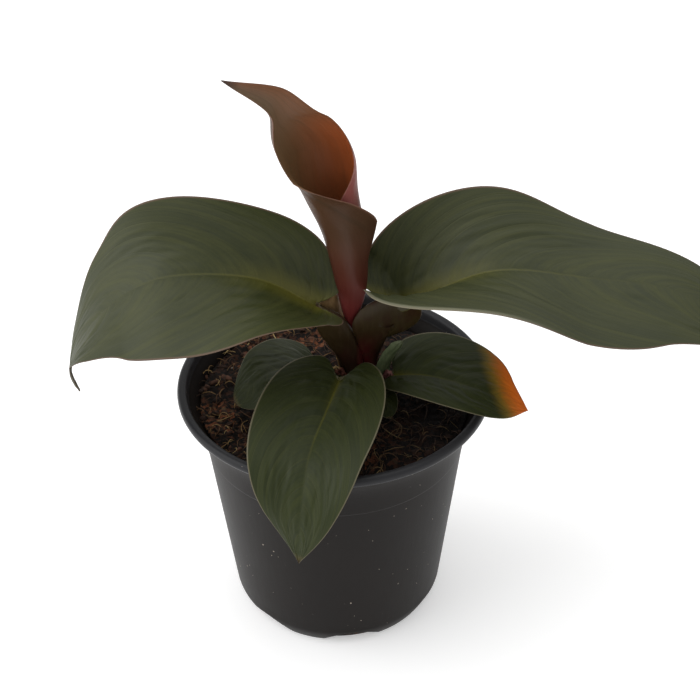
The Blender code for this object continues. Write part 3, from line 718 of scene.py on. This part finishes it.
def capped(shape):
    """The closed body with both its open ends drawn in to their middles."""
    ends = [np.repeat(shape[end].mean(axis=0)[None, None], shape.shape[1], axis=1) for end in (0, -1)]
    return np.concatenate([ends[0], shape, ends[1]])


def over_caps(values):
    """A quantity over the closed body, carried on to its capped ends."""
    return np.concatenate([values[:1], values, values[-1:]])


def grown_blade(leaf, finish):
    rows, columns = leaf["grid"]
    path = smooth_path(from_crown(leaf["midrib"]), 160)
    vectors = path_frames(path, leaf["facing"], leaf["twist"])
    halves = [leaf_half(leaf, side, rows, columns, path, vectors) for side in (0, 1)]
    sheet, y, step, t = (np.concatenate([halves[1][n][:, :0:-1], halves[0][n]], axis=1) for n in range(4))
    relief, order = swelling(leaf, y, step, rows)
    thin = 0.24 * MM * (1 - 0.55 * step**4)
    rib = leaf["rib"] * MM * (1 - t) ** 0.8 * np.exp(-((y / (leaf["rib"] * 1.1 * MM)) ** 2))
    for end in (0, -1):
        for part in (sheet, relief, thin, rib):
            part[end] = part[end, columns - 1]
    shape = closed_blade(sheet, relief, thin, thin + rib)
    flat = np.stack([order, y / MM, t], axis=-1)
    made = {"lie": [around(flat)], "under": [by_skin(y, 0, 0.5, 1)], "edge": [around(step)]}
    return build(leaf["name"], [(shape, "open")], finish, made)


def leaf_green(name, look):
    """Waxy green skin. `lie` holds vein order, millimetres from the midrib and share of the length;
    `edge` is 1 at the margin; `under` is 1 beneath. The veins and the midrib are paler lines, the
    gloss runs in streaks along the veins, and the same streaks are painted lighter in the colour as a
    painted sheen. The margin is a thin pinkish line, and a leaf with a `lip` also has a broad painted
    highlight just inside the margin beside its stalk, where its rolled edge catches the light. The tip
    can fade to another colour."""
    skin = Finish(name, {"Specular IOR Level": look["sheen"], "Coat Roughness": 0.45})
    where = skin.place()
    order, across, along = skin.axes(skin.attribute("lie", "Vector"))
    edge, under = skin.attribute("edge"), skin.attribute("under")
    beside = across.maths("ABSOLUTE", across)
    cloud = skin.noise(where, 24 * MM, 3)
    fleck = skin.noise(where, 1.1 * MM, 3)
    ribbon = skin.node("CombineXYZ", {}, {"X": order * 2.2, "Y": beside * 0.02, "Z": under * 7})
    streak = skin.noise(ribbon, 1.0, 4, 0.62)
    line = order.maths("PINGPONG", order, 0.5)
    vein = 1 - line.ramp(0.0, 0.07)
    green = skin.mix(cloud, look["deep"], look["green"])
    # Painted sheen: the gloss streaks along the veins are also painted lighter in the colour.
    green = skin.mix(streak.ramp(0.3, 0.75) * 0.8, green, look["streak"])
    mottle = skin.noise(skin.mapped(ribbon, (2.2, 9, 1)), 1.0, 4, 0.7)
    green = skin.mix(mottle.ramp(0.4, 0.75) * 0.45, green, look["deep"])
    green = skin.mix(vein * 0.22, green, look["vein"])
    glow = (1 - beside.ramp(0.0, look["rib_glow"])) * (1 - along.ramp(0.0, look["rib_length"]))
    green = skin.mix(glow * look["rib_share"], green, look["rib"])
    rib = (1 - beside.ramp(0.1, 0.7)) * (1 - along.ramp(0.1, look["rib_fade"]))
    green = skin.mix(rib * 0.4, green, look["rib"])
    ragged = along - across * look["tip_lean"] + 0.1 * streak
    start, end = look["tip_spread"]
    green = skin.mix(ragged.ramp(start, 0.5 * (start + end)), green, look["tip_pale"])
    green = skin.mix(ragged.ramp(0.7 * start + 0.3 * end, end), green, look["tip"])
    beneath = skin.mix(cloud, look["beneath"], look["beneath_pale"])
    beneath = skin.mix(rib * 0.7, beneath, look["rib"])
    colour = skin.mix(under, green, beneath)
    colour = skin.mix(edge.ramp(0.972, 0.992) * 0.8, colour, look["margin"])
    # Painted highlight: a pale band just inside the margin beside the stalk, where the rolled edge catches
    # the light.
    lip = edge.ramp(0.90, 0.96) * (1 - along.ramp(0.2, 0.45)) * across.ramp(0, 1) * look["lip"]
    colour = skin.mix(lip, colour, (0.26, 0.25, 0.17))
    colour = skin.mix(0.14 * fleck, colour, look["deep"])
    rough = 0.4 + 0.26 * streak + 0.05 * fleck + 0.14 * under
    height = 0.8 * streak + 0.4 * mottle + 0.2 * fleck - 0.3 * vein
    skin.wear(
        {
            "Base Color": colour,
            "Roughness": rough,
            "Coat Weight": 0.08 - 0.06 * under,
            "Normal": skin.bump(height, 0.25 * MM, 0.6),
        }
    )
    return skin


GREEN_LOOK = {
    "sheen": 0.34,
    # lip is the strength of the painted highlight just inside the margin beside the stalk.
    "lip": 0.0,
    "deep": (0.012, 0.018, 0.002),
    "green": (0.036, 0.041, 0.006),
    # streak is the painted sheen colour of the gloss streaks.
    "streak": (0.052, 0.056, 0.011),
    "vein": (0.050, 0.053, 0.010),
    "rib": (0.13, 0.12, 0.012),
    "rib_fade": 0.7,
    "rib_glow": 9.0,
    "rib_length": 0.36,
    "rib_share": 0.8,
    "tip": (0.05, 0.025, 0.012),
    "tip_pale": (0.07, 0.06, 0.02),
    "tip_spread": (1.0, 1.06),
    "tip_lean": 0.0,
    "beneath": (0.075, 0.06, 0.035),
    "beneath_pale": (0.11, 0.10, 0.06),
    "margin": (0.13, 0.075, 0.05),
}
# The right leaf gets the painted highlight inside its rolled margin.
MARGIN_HIGHLIGHT_LOOK = dict(GREEN_LOOK, lip=0.62)
SMALL_LOOK = dict(
    GREEN_LOOK,
    sheen=0.2,
    deep=(0.010, 0.015, 0.002),
    green=(0.021, 0.028, 0.004),
    # Painted sheen colour of the gloss streaks, dimmer on the small leaves.
    streak=(0.034, 0.041, 0.007),
    rib_glow=3.0,
    rib_length=0.3,
    rib_share=0.35,
    margin=(0.15, 0.13, 0.08),
)
ORANGE_LOOK = dict(
    SMALL_LOOK,
    tip=(0.62, 0.13, 0.006),
    tip_pale=(0.16, 0.10, 0.008),
    tip_spread=(0.76, 1.0),
    tip_lean=0.013,
)

RIM_Y = (-RIM_RADIUS - CROWN[1]) / MM
RIM_Z = (POT_HEIGHT - CROWN[2]) / MM

LEAVES = {
    "left": {
        "name": "leaf_left",
        "node": "blade_left",
        "midrib": [
            (-19, -10, 44),
            (-43, -12, 59),
            (-77, -13, 61),
            (-99, -11, 48),
            (-113, -14, 33),
            (-118, -20, 22),
            (-114, -28, 17),
        ],
        "facing": (0, -0.45, 1),
        "twist": (0, -2, -32),
        "half_width": (32, 38),
        "lobe": (12, 15),
        "behind": (-0.95, -0.05, 0.2),
        "fold": ((23, 5, -9), (26, 6, 15)),
        "curl": ((64, 48, -34), (64, -9, 7)),
        "outline": (0.87, 1.48, 0.2),
        "veins": 15,
        "sweep": 0.3,
        "quilt": 0.12,
        "waves": 3.2,
        "wave": 0.5,
        "rib": 1.5,
        "grid": (150, 56),
        "look": GREEN_LOOK,
    },
    "right": {
        "name": "leaf_right",
        "node": "blade_right",
        "midrib": [(17, 0, 35), (51, -8, 57), (89, -11, 55), (125, -17, 51), (157, -33, 36)],
        "facing": (0, -0.3, 1),
        "twist": (6, 0, 8),
        "half_width": (46, 37),
        "lobe": (10, 18),
        "behind": (0.86, 0.0, -0.36),
        "fold": ((72, 3, 10), (44, 1, 3)),
        "curl": ((-26, 23, -21), (50, -13, -4)),
        "outline": (0.74, 1.35, 0.035),
        "veins": 16,
        "sweep": 0.36,
        "quilt": 0.14,
        "waves": 2.6,
        "wave": 0.6,
        "rib": 1.5,
        "grid": (160, 56),
        "look": MARGIN_HIGHLIGHT_LOOK,
    },
    "front": {
        "name": "leaf_front",
        "node": "blade_front",
        "midrib": [
            (-10, -25, 17),
            (-15, -43, 17),
            (-21, -62, 14.5),
            (-24, RIM_Y, RIM_Z + 2.5),
            (-26, RIM_Y - 9, RIM_Z - 9),
            (-27, RIM_Y - 14.5, RIM_Z - 28),
        ],
        "facing": (0, 0, 1),
        "twist": (0, 0, -15),
        "half_width": (26, 24),
        "lobe": (13, 14),
        "fold": ((22, 9, -8), (21, 8, 10)),
        "curl": ((0, 0, 0), (0, 0, 0)),
        "outline": (0.83, 1.3, 0.2),
        "point": 0.5,
        "veins": 13,
        "sweep": 0.3,
        "quilt": 0.08,
        "waves": 2.2,
        "wave": 0.4,
        "rib": 1.1,
        "grid": (120, 44),
        "look": SMALL_LOOK,
    },
    "small_right": {
        "name": "leaf_small_right",
        "node": "blade_small_right",
        "midrib": [(12.5, -9.5, 7.5), (26, -19, 14), (43, -31, 17), (55, -37, 15), (65, -38, 10)],
        "facing": (0, -0.3, 1),
        "twist": (0, 8, -5),
        "half_width": (18, 23),
        "lobe": (4, 8),
        "fold": ((22, 12, -4), (20, 4, 0)),
        "curl": ((0, 0, 0), (0, 0, 0)),
        "outline": (0.86, 1.2, 0.3),
        "point": 0.55,
        "veins": 11,
        "sweep": 0.28,
        "quilt": 0.14,
        "waves": 2.0,
        "wave": 0.3,
        "rib": 0.8,
        "grid": (96, 34),
        "look": ORANGE_LOOK,
    },
    "small_left": {
        "name": "leaf_small_left",
        "node": "blade_small_left",
        "midrib": [(-19, 0, 7), (-29, -12, 15), (-41, -19, 16), (-53, -22, 5)],
        "facing": (0, -0.3, 1),
        "twist": (0, 0, 0),
        "half_width": (17, 20),
        "lobe": (5, 8),
        "fold": ((13, 3, 0), (15, 5, 0)),
        "curl": ((0, 0, 0), (0, 0, 0)),
        "outline": (0.86, 1.15, 0.38),
        "veins": 11,
        "sweep": 0.28,
        "quilt": 0.16,
        "waves": 2.0,
        "wave": 0.3,
        "rib": 0.8,
        "grid": (96, 34),
        "look": SMALL_LOOK,
    },
    "tiny": {
        "name": "leaf_tiny",
        "node": "blade_tiny",
        "midrib": [(5, -15, 3), (8, -23, 5), (10, -31, 2)],
        "facing": (0, 0, 1),
        "twist": (0, 0, 0),
        "half_width": (6, 6),
        "lobe": (2, 2),
        "fold": ((10, 5, 0), (10, 5, 0)),
        "curl": ((0, 0, 0), (0, 0, 0)),
        "outline": (0.86, 1.1, 0.36),
        "veins": 7,
        "sweep": 0.25,
        "quilt": 0.08,
        "waves": 1.0,
        "wave": 0.1,
        "rib": 0.5,
        "grid": (48, 18),
        "look": SMALL_LOOK,
    },
}

for leaf in LEAVES.values():
    grown = grown_blade(leaf, leaf_green(leaf["name"] + "_skin", leaf["look"]))
    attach(grown, "root")
    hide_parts(leaf["node"])

# ---------------------------------------------------------------- new leaf
# The youngest blade, still rolled up and only half open. It is thin and satiny: orange brown on
# the upper skin that shows inside the hood, and mauve brown on the lower skin outside.

NEW_LEAF = {
    "axis": [
        (-5, -2, 29.5),
        (-4.4, -3, 44),
        (-5.3, -2.3, 59.5),
        (-7.2, 0, 74),
        (-11.3, 0, 90.5),
        (-14.5, -1, 104.5),
        (-20.2, -5, 119),
        (-28.2, -4, 132),
        (-50, -13, 145),
    ],
    "radius": (1.6, 5, 6.8, 8.4, 10.4, 13.0, 12.4, 7.2, 0.3),
    "inner_angle": (-180, -175, -160, -130, -73, -6, 44, 86, 110),
    "outer_angle": (336, 356, 374, 367, 304, 226, 208, 216, 236),
    "lip": (0, 0.2, 0.6, 4.6, 1.6, 2.3, 0.6, 0, 0),
    "spiral": 0.16,
    "lean": 0.6,
    "grid": (150, 110),
}


def smooth_rows(knots, count):
    """Values read from a Catmull-Rom curve through evenly spaced knots."""
    knots = np.array(knots, dtype=float)
    padded = np.concatenate([[2 * knots[0] - knots[1]], knots, [2 * knots[-1] - knots[-2]]])
    place = np.linspace(0, 1, count) * (len(knots) - 1)
    span = np.minimum(place.astype(int), len(knots) - 2)
    t = (place - span).reshape((-1,) + (1,) * (knots.ndim - 1))
    a, b, c, d = (padded[span + step] for step in range(4))
    return 0.5 * (2 * b + (c - a) * t + (2 * a - 5 * b + 4 * c - d) * t**2 + (3 * b - a - 3 * c + d) * t**3)


def rolled_sheet(leaf):
    """Each row is an arc about the leaning axis, from its inner to its outer angle. The radius grows
    along the arc, so that the outer edge laps over the inner one, and the lip turns the outer edge
    out by an exponential of the distance from it. Also the share of each arc and its length."""
    rows, columns = leaf["grid"]
    axis = smooth_rows(from_crown(leaf["axis"]), rows)
    radius = smooth_rows(leaf["radius"], rows)[:, None] * MM
    inner = np.radians(smooth_rows(leaf["inner_angle"], rows))[:, None]
    knots = np.linspace(0, 1, len(leaf["outer_angle"]))
    outer = np.radians(np.interp(np.linspace(0, 1, rows), knots, leaf["outer_angle"]))[:, None]
    lip = np.interp(np.linspace(0, 1, rows), knots, leaf["lip"])[:, None] * MM
    upright = unit(leaf["lean"] * unit(np.gradient(axis, axis=0)) + (1 - leaf["lean"]) * np.array((0, 0, 1)))
    right = unit(np.array((1, 0, 0)) - upright[:, :1] * upright)
    back = np.cross(upright, right)
    v = np.linspace(0, 1, columns)[None, :]
    angle = inner + (outer - inner) * v
    from_edge = (1 - v) * (outer - inner) * radius
    reach = radius * (1 + leaf["spiral"] * (v - 0.5)) + lip * np.exp(-from_edge / (4 * MM))
    ring = np.cos(angle)[..., None] * right[:, None] + np.sin(angle)[..., None] * back[:, None]
    return axis[:, None] + reach[..., None] * ring, v + 0 * angle, (outer - inner) * radius


def young_skin():
    """Satin skin of the new leaf. `along` runs from its foot to its tip and `over` from its inner to
    its outer edge; `inside` is 1 on the skin that faces the roll."""
    skin = Finish("new_leaf_skin", {"Specular IOR Level": 0.3, "Coat Roughness": 0.4})
    where = skin.place()
    along, over, inside = skin.attribute("along"), skin.attribute("over"), skin.attribute("inside")
    edge = skin.attribute("edge")
    cloud = skin.noise(where, 15 * MM, 3)
    fleck = skin.noise(where, 0.8 * MM, 3)
    ribbon = skin.node("CombineXYZ", {}, {"X": over * 34 + along * 9, "Y": along * 2.5, "Z": inside * 5})
    stripe = skin.noise(ribbon, 1.0, 3, 0.6)
    streak = skin.noise(skin.mapped(ribbon, (0.35, 0.5, 1)), 1.0, 4, 0.65)
    outside = skin.mix(cloud, (0.050, 0.020, 0.008), (0.070, 0.032, 0.013))
    outside = skin.mix(0.5 * stripe, outside, (0.095, 0.045, 0.022))
    outside = skin.mix(streak.ramp(0.5, 0.7) * 0.5, outside, (0.034, 0.022, 0.009))
    foot = 1 - along.ramp(0.02, 0.42)
    outside = skin.mix(foot * 0.9, outside, (0.12, 0.012, 0.013))
    fold = (1 - over.ramp(0.05, 0.3)) * along.ramp(0.36, 0.46) * (1 - along.ramp(0.6, 0.68))
    outside = skin.mix(fold * 0.9, outside, (0.26, 0.07, 0.06))
    # The inner skin runs from bright orange at its inner edge to grey-brown further round: its own
    # orange-brown, with painted light glowing through the thin blade at the inner edge and painted shade
    # deeper in the roll.
    within = skin.mix(over.ramp(0.0, 0.75), (0.72, 0.16, 0.04), (0.14, 0.09, 0.04))
    within = skin.mix(along.ramp(0.6, 0.8) * 0.8, within, (0.13, 0.095, 0.055))
    blush = (1 - over.ramp(0.02, 0.10)) * (1 - along.ramp(0.58, 0.66))
    within = skin.mix(blush * 0.8, within, (0.42, 0.16, 0.15))
    within = skin.mix(0.35 * cloud, within, (0.16, 0.06, 0.02))
    within = skin.mix(streak.ramp(0.45, 0.75) * 0.45, within, (0.07, 0.045, 0.022))
    colour = skin.mix(inside, outside, within)
    colour = skin.mix(edge.ramp(0.0, 1.0) * 0.5, colour, (0.26, 0.12, 0.08))
    colour = skin.mix(along.ramp(0.955, 0.99) * 0.8, colour, (0.05, 0.022, 0.016))
    skin.wear(
        {
            "Base Color": colour,
            "Roughness": 0.4 + 0.14 * stripe + 0.06 * fleck,
            "Coat Weight": 0.03 + 0.03 * inside,
            "Normal": skin.bump(0.6 * stripe + 0.5 * streak + 0.2 * fleck, 0.3 * MM, 0.7),
        }
    )
    return skin


def rolled_leaf():
    """The rolled sheet thickened, thinner at both its edges and its tip, and closed at both ends."""
    sheet, over, spread = rolled_sheet(NEW_LEAF)
    rows = len(sheet)
    along = np.linspace(0, 1, rows)[:, None] + 0 * over
    relief = 0.06 * MM * np.sin(over * 60 + along * 6) * np.sin(math.pi * along)
    from_edge = np.minimum(over, 1 - over)
    thin = 0.22 * MM * (0.5 + 0.5 * np.clip(6 * from_edge, 0, 1)) * np.clip((1 - along) * 30, 0.05, 1)
    shape = capped(closed_blade(sheet, relief, thin, thin))
    rim = np.exp(-from_edge * spread / (0.5 * MM))
    laid = {"along": around(along), "over": around(over), "edge": around(rim)}
    laid["inside"] = by_skin(over, 0, 0, 1)
    made = {label: [over_caps(values)] for label, values in laid.items()}
    return build("leaf_new", [(shape, "open")], young_skin(), made)


new_leaf = rolled_leaf()
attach(new_leaf, "root")
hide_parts("blade_new")

# ---------------------------------------------------------------- leaf stalks
# Smooth fleshy stalks, oval in section and channelled on top, that spring from the crown and run
# into the midribs. They are olive brown, and wine red where they part from one another.

STALKS = (
    {
        "name": "stalk_left",
        "leaf": "left",
        "knots": [(-4, -1, -1.5), (-5, -3, 11.7), (-6.8, -4, 18), (-9.5, -5.5, 25), (-12.5, -6.5, 31)],
        "wide": (4.3, 4.8, 5.2, 6.0, 5.8, 2.6, 1.4),
        "deep": (3.6, 3.2, 3.0, 2.6, 2.2, 1.4, 0.8),
    },
    {
        "name": "stalk_right",
        "leaf": "right",
        "knots": [(3.6, 1, -1.5), (3.0, 0, 11), (3.4, -2, 18), (4.0, -3.5, 24), (5.6, -4.5, 32)],
        "wide": (3.6, 3.4, 5.4, 7.8, 10.2, 9.0, 2.4),
        "deep": (3.4, 3.2, 2.9, 2.5, 2.1, 1.6, 1.2),
    },
    {
        "name": "stalk_front",
        "leaf": "front",
        "knots": [(-1, -7.5, -1.5), (-5, -16, 9)],
        "wide": (2.4, 2.0, 1.5),
        "deep": (2.2, 1.6, 1.1),
    },
    {
        "name": "stalk_small_right",
        "leaf": "small_right",
        "knots": [(6.5, -7.6, -1.5), (8.5, -9, 2.5)],
        "wide": (1.8, 1.5, 1.0),
        "deep": (1.5, 1.2, 0.8),
    },
    {
        "name": "stalk_small_left",
        "leaf": "small_left",
        "knots": [(-10.5, -1, -1.5), (-14, 0, 3.5)],
        "wide": (1.6, 1.4, 1.0),
        "deep": (1.4, 1.2, 0.8),
    },
    {
        "name": "stalk_tiny",
        "leaf": "tiny",
        "knots": [(3.2, -10, -1.5), (4, -13, 1.6)],
        "wide": (1.1, 1.0, 0.7),
        "deep": (1.0, 0.8, 0.6),
    },
)
SPLIT = CROWN[0] - 1 * MM
NEW_STALK = {
    "knots": [(1.2, 8.3, -1.5), (-0.9, 5.8, 14), (-4.8, -1.2, 28.4), (-5, -2, 33)],
    "wide": (3.2, 3.0, 2.2),
    "deep": (3.2, 3.0, 2.2),
}


def stalk_end(leaf, depth):
    """Two points that carry a stalk along just under the start of its blade's midrib."""
    path = smooth_path(from_crown(leaf["midrib"]), 90)
    tangent, _, normal = path_frames(path, leaf["facing"], leaf["twist"])
    drop = normal[0] * (depth + 1.0) * MM
    points = (path[0] - tangent[0] * 3 * MM - drop * 1.3, path[0] + tangent[0] * 6 * MM - drop)
    return [tuple((point - CROWN) / MM) for point in points]


def stalk_body(knots, facing, widths, depths):
    """An oval section along the path, pinched by a channel on its upper side and swollen a little at
    its foot. Also how far along the stalk each point lies."""
    rows, sides = 70, 40
    path = smooth_path(from_crown(knots), rows)
    t = np.linspace(0, 1, rows)[:, None]
    lap = np.arange(sides) * 2 * math.pi / sides
    groove = np.exp(-(((lap - math.pi / 2) / 0.5) ** 2)) * np.sin(math.pi * np.clip(t * 1.1, 0, 1))
    channel = 1 - 0.16 * groove
    foot = 1 + 0.14 * np.exp(-((t / 0.12) ** 2))
    wide = smooth_rows(widths, rows)[:, None] * MM * foot + 0 * lap
    deep = smooth_rows(depths, rows)[:, None] * MM * foot * channel
    return tube(path, facing, wide, deep, sides), over_caps(t) + 0 * lap


def stalk_skin(name, low, high, blush):
    """Smooth skin from one colour at the foot to another at the top, clouded with a third, and wine
    red down the line where the stalks part."""
    skin = Finish(name, {"Specular IOR Level": 0.3})
    where = skin.place()
    along = skin.attribute("along")
    streak = skin.noise(skin.mapped(where, (1, 1, 0.18)), 1.4 * MM, 4)
    cloud = skin.noise(where, 7 * MM, 2)
    colour = skin.mix(along.ramp(0.0, 0.9), low, high)
    colour = skin.mix(cloud.ramp(0.45, 0.7) * 0.6, colour, blush)
    x, y, z = skin.axes(where)
    flush = x.ramp(SPLIT - 2 * MM, SPLIT) * (1 - x.ramp(SPLIT + 2 * MM, SPLIT + 9 * MM))
    flush = flush * (1 - z.ramp(CROWN[2] + 12 * MM, CROWN[2] + 30 * MM))
    colour = skin.mix(flush * 0.9, colour, (0.075, 0.006, 0.008))
    colour = skin.mix(streak.ramp(0.45, 0.75) * 0.3, colour, (0.07, 0.05, 0.02))
    rough = 0.38 + 0.2 * streak
    skin.wear({"Base Color": colour, "Roughness": rough, "Normal": skin.bump(streak, 0.2 * MM, 0.5)})
    return skin


olive = stalk_skin("stalk_skin", (0.020, 0.005, 0.003), (0.040, 0.026, 0.006), (0.032, 0.008, 0.005))
wine = stalk_skin("new_stalk_skin", (0.06, 0.010, 0.008), (0.12, 0.014, 0.016), (0.05, 0.012, 0.008))
for part in STALKS:
    leaf = LEAVES[part["leaf"]]
    knots = part["knots"] + stalk_end(leaf, part["deep"][-1])
    shape, along = stalk_body(knots, leaf["facing"], part["wide"], part["deep"])
    stalk = build(part["name"] + "_flesh", [(shape, "open")], olive, {"along": [along]})
    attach(stalk, "root")
    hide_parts(part["name"])

shape, along = stalk_body(NEW_STALK["knots"], (1, -1, 0), NEW_STALK["wide"], NEW_STALK["deep"])
new_stalk = build("stalk_new_flesh", [(shape, "open")], wine, {"along": [along]})
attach(new_stalk, "root")
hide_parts("stalk_new")

# ---------------------------------------------------------------- scale leaves
# Thin sheaths that wrapped younger growth and then split off: one still green, one dried brown,
# and two worn stubs at the foot of the stalks.

SCALES = {
    "scale_green": {
        "node": "cataphyll_green",
        "slot": "cataphyll_green",
        "knots": [(8.5, -5, -1), (9.5, -7, 12), (16, -7, 23)],
        "wide": (2.4, 3.4, 3.0),
        "facing": (0.5, -1, 0.3),
        "crumple": 0.35,
        "colours": ((0.12, 0.15, 0.07), (0.07, 0.09, 0.04), (0.14, 0.16, 0.09)),
    },
    "scale_dry": {
        "node": "cataphyll_dry",
        "slot": "cataphyll_dry",
        "knots": [(-6.5, 7.5, -1), (-10, 3, 22), (-15.0, -5.5, 46)],
        "wide": (3.0, 3.8, 5.4),
        "facing": (0.3, -1, 0.1),
        "crumple": 0.35,
        "colours": ((0.30, 0.19, 0.075), (0.14, 0.08, 0.032), (0.035, 0.008, 0.006)),
    },
    "scale_stub_left": {
        "node": "cataphyll_stub_left",
        "slot": "cataphyll_dry",
        "knots": [(-8, -7, -1), (-10, -8.5, 6), (-11.5, -9.5, 12)],
        "wide": (2.4, 3.2, 2.0),
        "facing": (0, -1, 0.4),
        "crumple": 1.2,
        "colours": ((0.16, 0.05, 0.03), (0.05, 0.014, 0.010), (0.30, 0.20, 0.08)),
    },
    "scale_stub_right": {
        "node": "cataphyll_stub_right",
        "slot": "cataphyll_dry",
        "knots": [(9, -5, -1), (10.5, -8, 5), (11, -10, 9)],
        "wide": (2.0, 2.6, 1.6),
        "facing": (0, -1, 0.6),
        "crumple": 1.2,
        "colours": ((0.14, 0.04, 0.035), (0.04, 0.012, 0.010), (0.30, 0.13, 0.12)),
    },
}


def scale_body(scale):
    """A narrow strip along a path, cupped across as a parabola, crumpled by two sine waves and
    thickened a little. Also how far along the strip each point lies."""
    rows, columns = 60, 21
    path = smooth_path(from_crown(scale["knots"]), rows)
    _, across, normal = path_frames(path, scale["facing"])
    t, s = np.linspace(0, 1, rows)[:, None], np.linspace(-1, 1, columns)[None, :]
    wide = base_middle_tip(scale["wide"], t) * MM * np.clip((1 - t) * 8, 0.05, 1) ** 0.5
    cup = 0.45 * wide * (1 - s**2) - 0.3 * wide
    wave = scale["crumple"] * MM * np.sin(9 * t + 4 * s) * np.sin(17 * t - 5 * s) * t
    sheet = path[:, None] + (s * wide)[..., None] * across[:, None]
    sheet = sheet + (cup + wave)[..., None] * normal[:, None]
    along = t + 0 * s
    thin = 0.16 * MM + 0 * along
    return capped(closed_blade(sheet, 0 * along, thin, thin)), over_caps(around(along))


def papery(name, pale, dark, top):
    """Dry skin streaked lengthwise between two colours, with a third at its top edge."""
    skin = Finish(name, {"Specular IOR Level": 0.35})
    where = skin.place()
    along = skin.attribute("along")
    streak = skin.noise(skin.mapped(where, (1, 1, 0.15)), 1.0 * MM, 4)
    colour = skin.mix(streak, pale, dark)
    colour = skin.mix(along.ramp(0.90, 0.97) * 0.9, colour, top)
    rough = 0.5 + 0.3 * streak
    skin.wear({"Base Color": colour, "Roughness": rough, "Normal": skin.bump(streak, 0.3 * MM, 0.7)})
    return skin


for name, scale in SCALES.items():
    shape, along = scale_body(scale)
    finish = papery(name + "_skin", *scale["colours"])
    piece = build(name, [(shape, "open")], finish, {"along": [along]})
    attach(piece, "root")
    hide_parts(scale["node"])

# ---------------------------------------------------------------- floor, light and camera
# A pale seamless floor in an even white room, with a large soft lamp to the left and a weaker one
# above and a little behind. The camera looks down on the front of the pot.


def pale_floor():
    """Matt white with a faint glow, so that it stays pale in the pot's shade."""
    glow = {"Emission Color": (1, 1, 1, 1), "Emission Strength": 0.35}
    floor = Finish("pale_floor", {"Specular IOR Level": 0.2, **glow})
    cloud = floor.noise(floor.place(), 0.4, 2)
    colour = floor.mix(cloud, (0.86, 0.86, 0.86), (0.9, 0.9, 0.9))
    floor.wear({"Base Color": colour, "Roughness": 0.85 + 0.1 * cloud})
    return floor


def placed(right, up, back, place):
    """The matrix that stands an object at a place, facing away from `back`."""
    rows = np.stack([right, up, back, place], axis=1)
    return Matrix([*rows.tolist(), (0, 0, 0, 1)])


FLOOR_REACH, FLOOR_THICKNESS, FLOOR_GAP = 6.0, 20 * MM, 0.1 * MM
ring = np.arange(64) * 2 * math.pi / 64
disc = np.stack([np.cos(ring), np.sin(ring), 0 * ring], axis=-1) * FLOOR_REACH
under = np.array((0, 0, FLOOR_THICKNESS))
disc = np.stack([0 * disc, disc, disc - under, 0 * disc - under])
floor = build("floor", [(disc - (0, 0, FLOOR_GAP), "open")], pale_floor())

world = bpy.data.worlds.new("white_room")
world.use_nodes = True
world.node_tree.nodes["Background"].inputs["Color"].default_value = (1, 1, 1, 1)
world.node_tree.nodes["Background"].inputs["Strength"].default_value = 0.62
bpy.context.scene.world = world
bpy.context.scene.view_settings.view_transform = "Standard"


def soft_lamp(name, place, aim, size, watts):
    """A round area lamp at a place, turned to an aim."""
    lamp = bpy.data.lights.new(name, "AREA")
    lamp.shape, lamp.size, lamp.energy = "DISK", size, watts
    made = bpy.data.objects.new(name, lamp)
    bpy.context.scene.collection.objects.link(made)
    back = unit(np.array(place, dtype=float) - np.array(aim, dtype=float))
    right = unit(np.cross((0, 1, 0.01), back))
    up = np.cross(back, right)
    made.matrix_world = placed(right, up, back, place)


soft_lamp("lamp_left", (-1.8, -0.2, 1.4), (0, 0, 0.1), 2.8, 36)
soft_lamp("lamp_above", (0.2, 0.5, 1.9), (0, 0, 0.1), 2.4, 13)

PITCH, YAW, ROLL = math.radians(36.7), math.radians(0.78), math.radians(-0.77)
EYE = (0, -0.492, 0.492)
forward = np.array((math.sin(YAW) * math.cos(PITCH), math.cos(YAW) * math.cos(PITCH), -math.sin(PITCH)))
level = np.array((math.cos(YAW), -math.sin(YAW), 0))
above = np.cross(level, forward)
right = level * math.cos(ROLL) + above * math.sin(ROLL)
up = above * math.cos(ROLL) - level * math.sin(ROLL)
lens = bpy.data.cameras.new("camera")
lens.sensor_width, lens.lens, lens.clip_start = 36, 77.14, 0.01
camera = bpy.data.objects.new("camera", lens)
bpy.context.scene.collection.objects.link(camera)
camera.matrix_world = placed(right, up, -forward, EYE)
bpy.context.scene.camera = camera
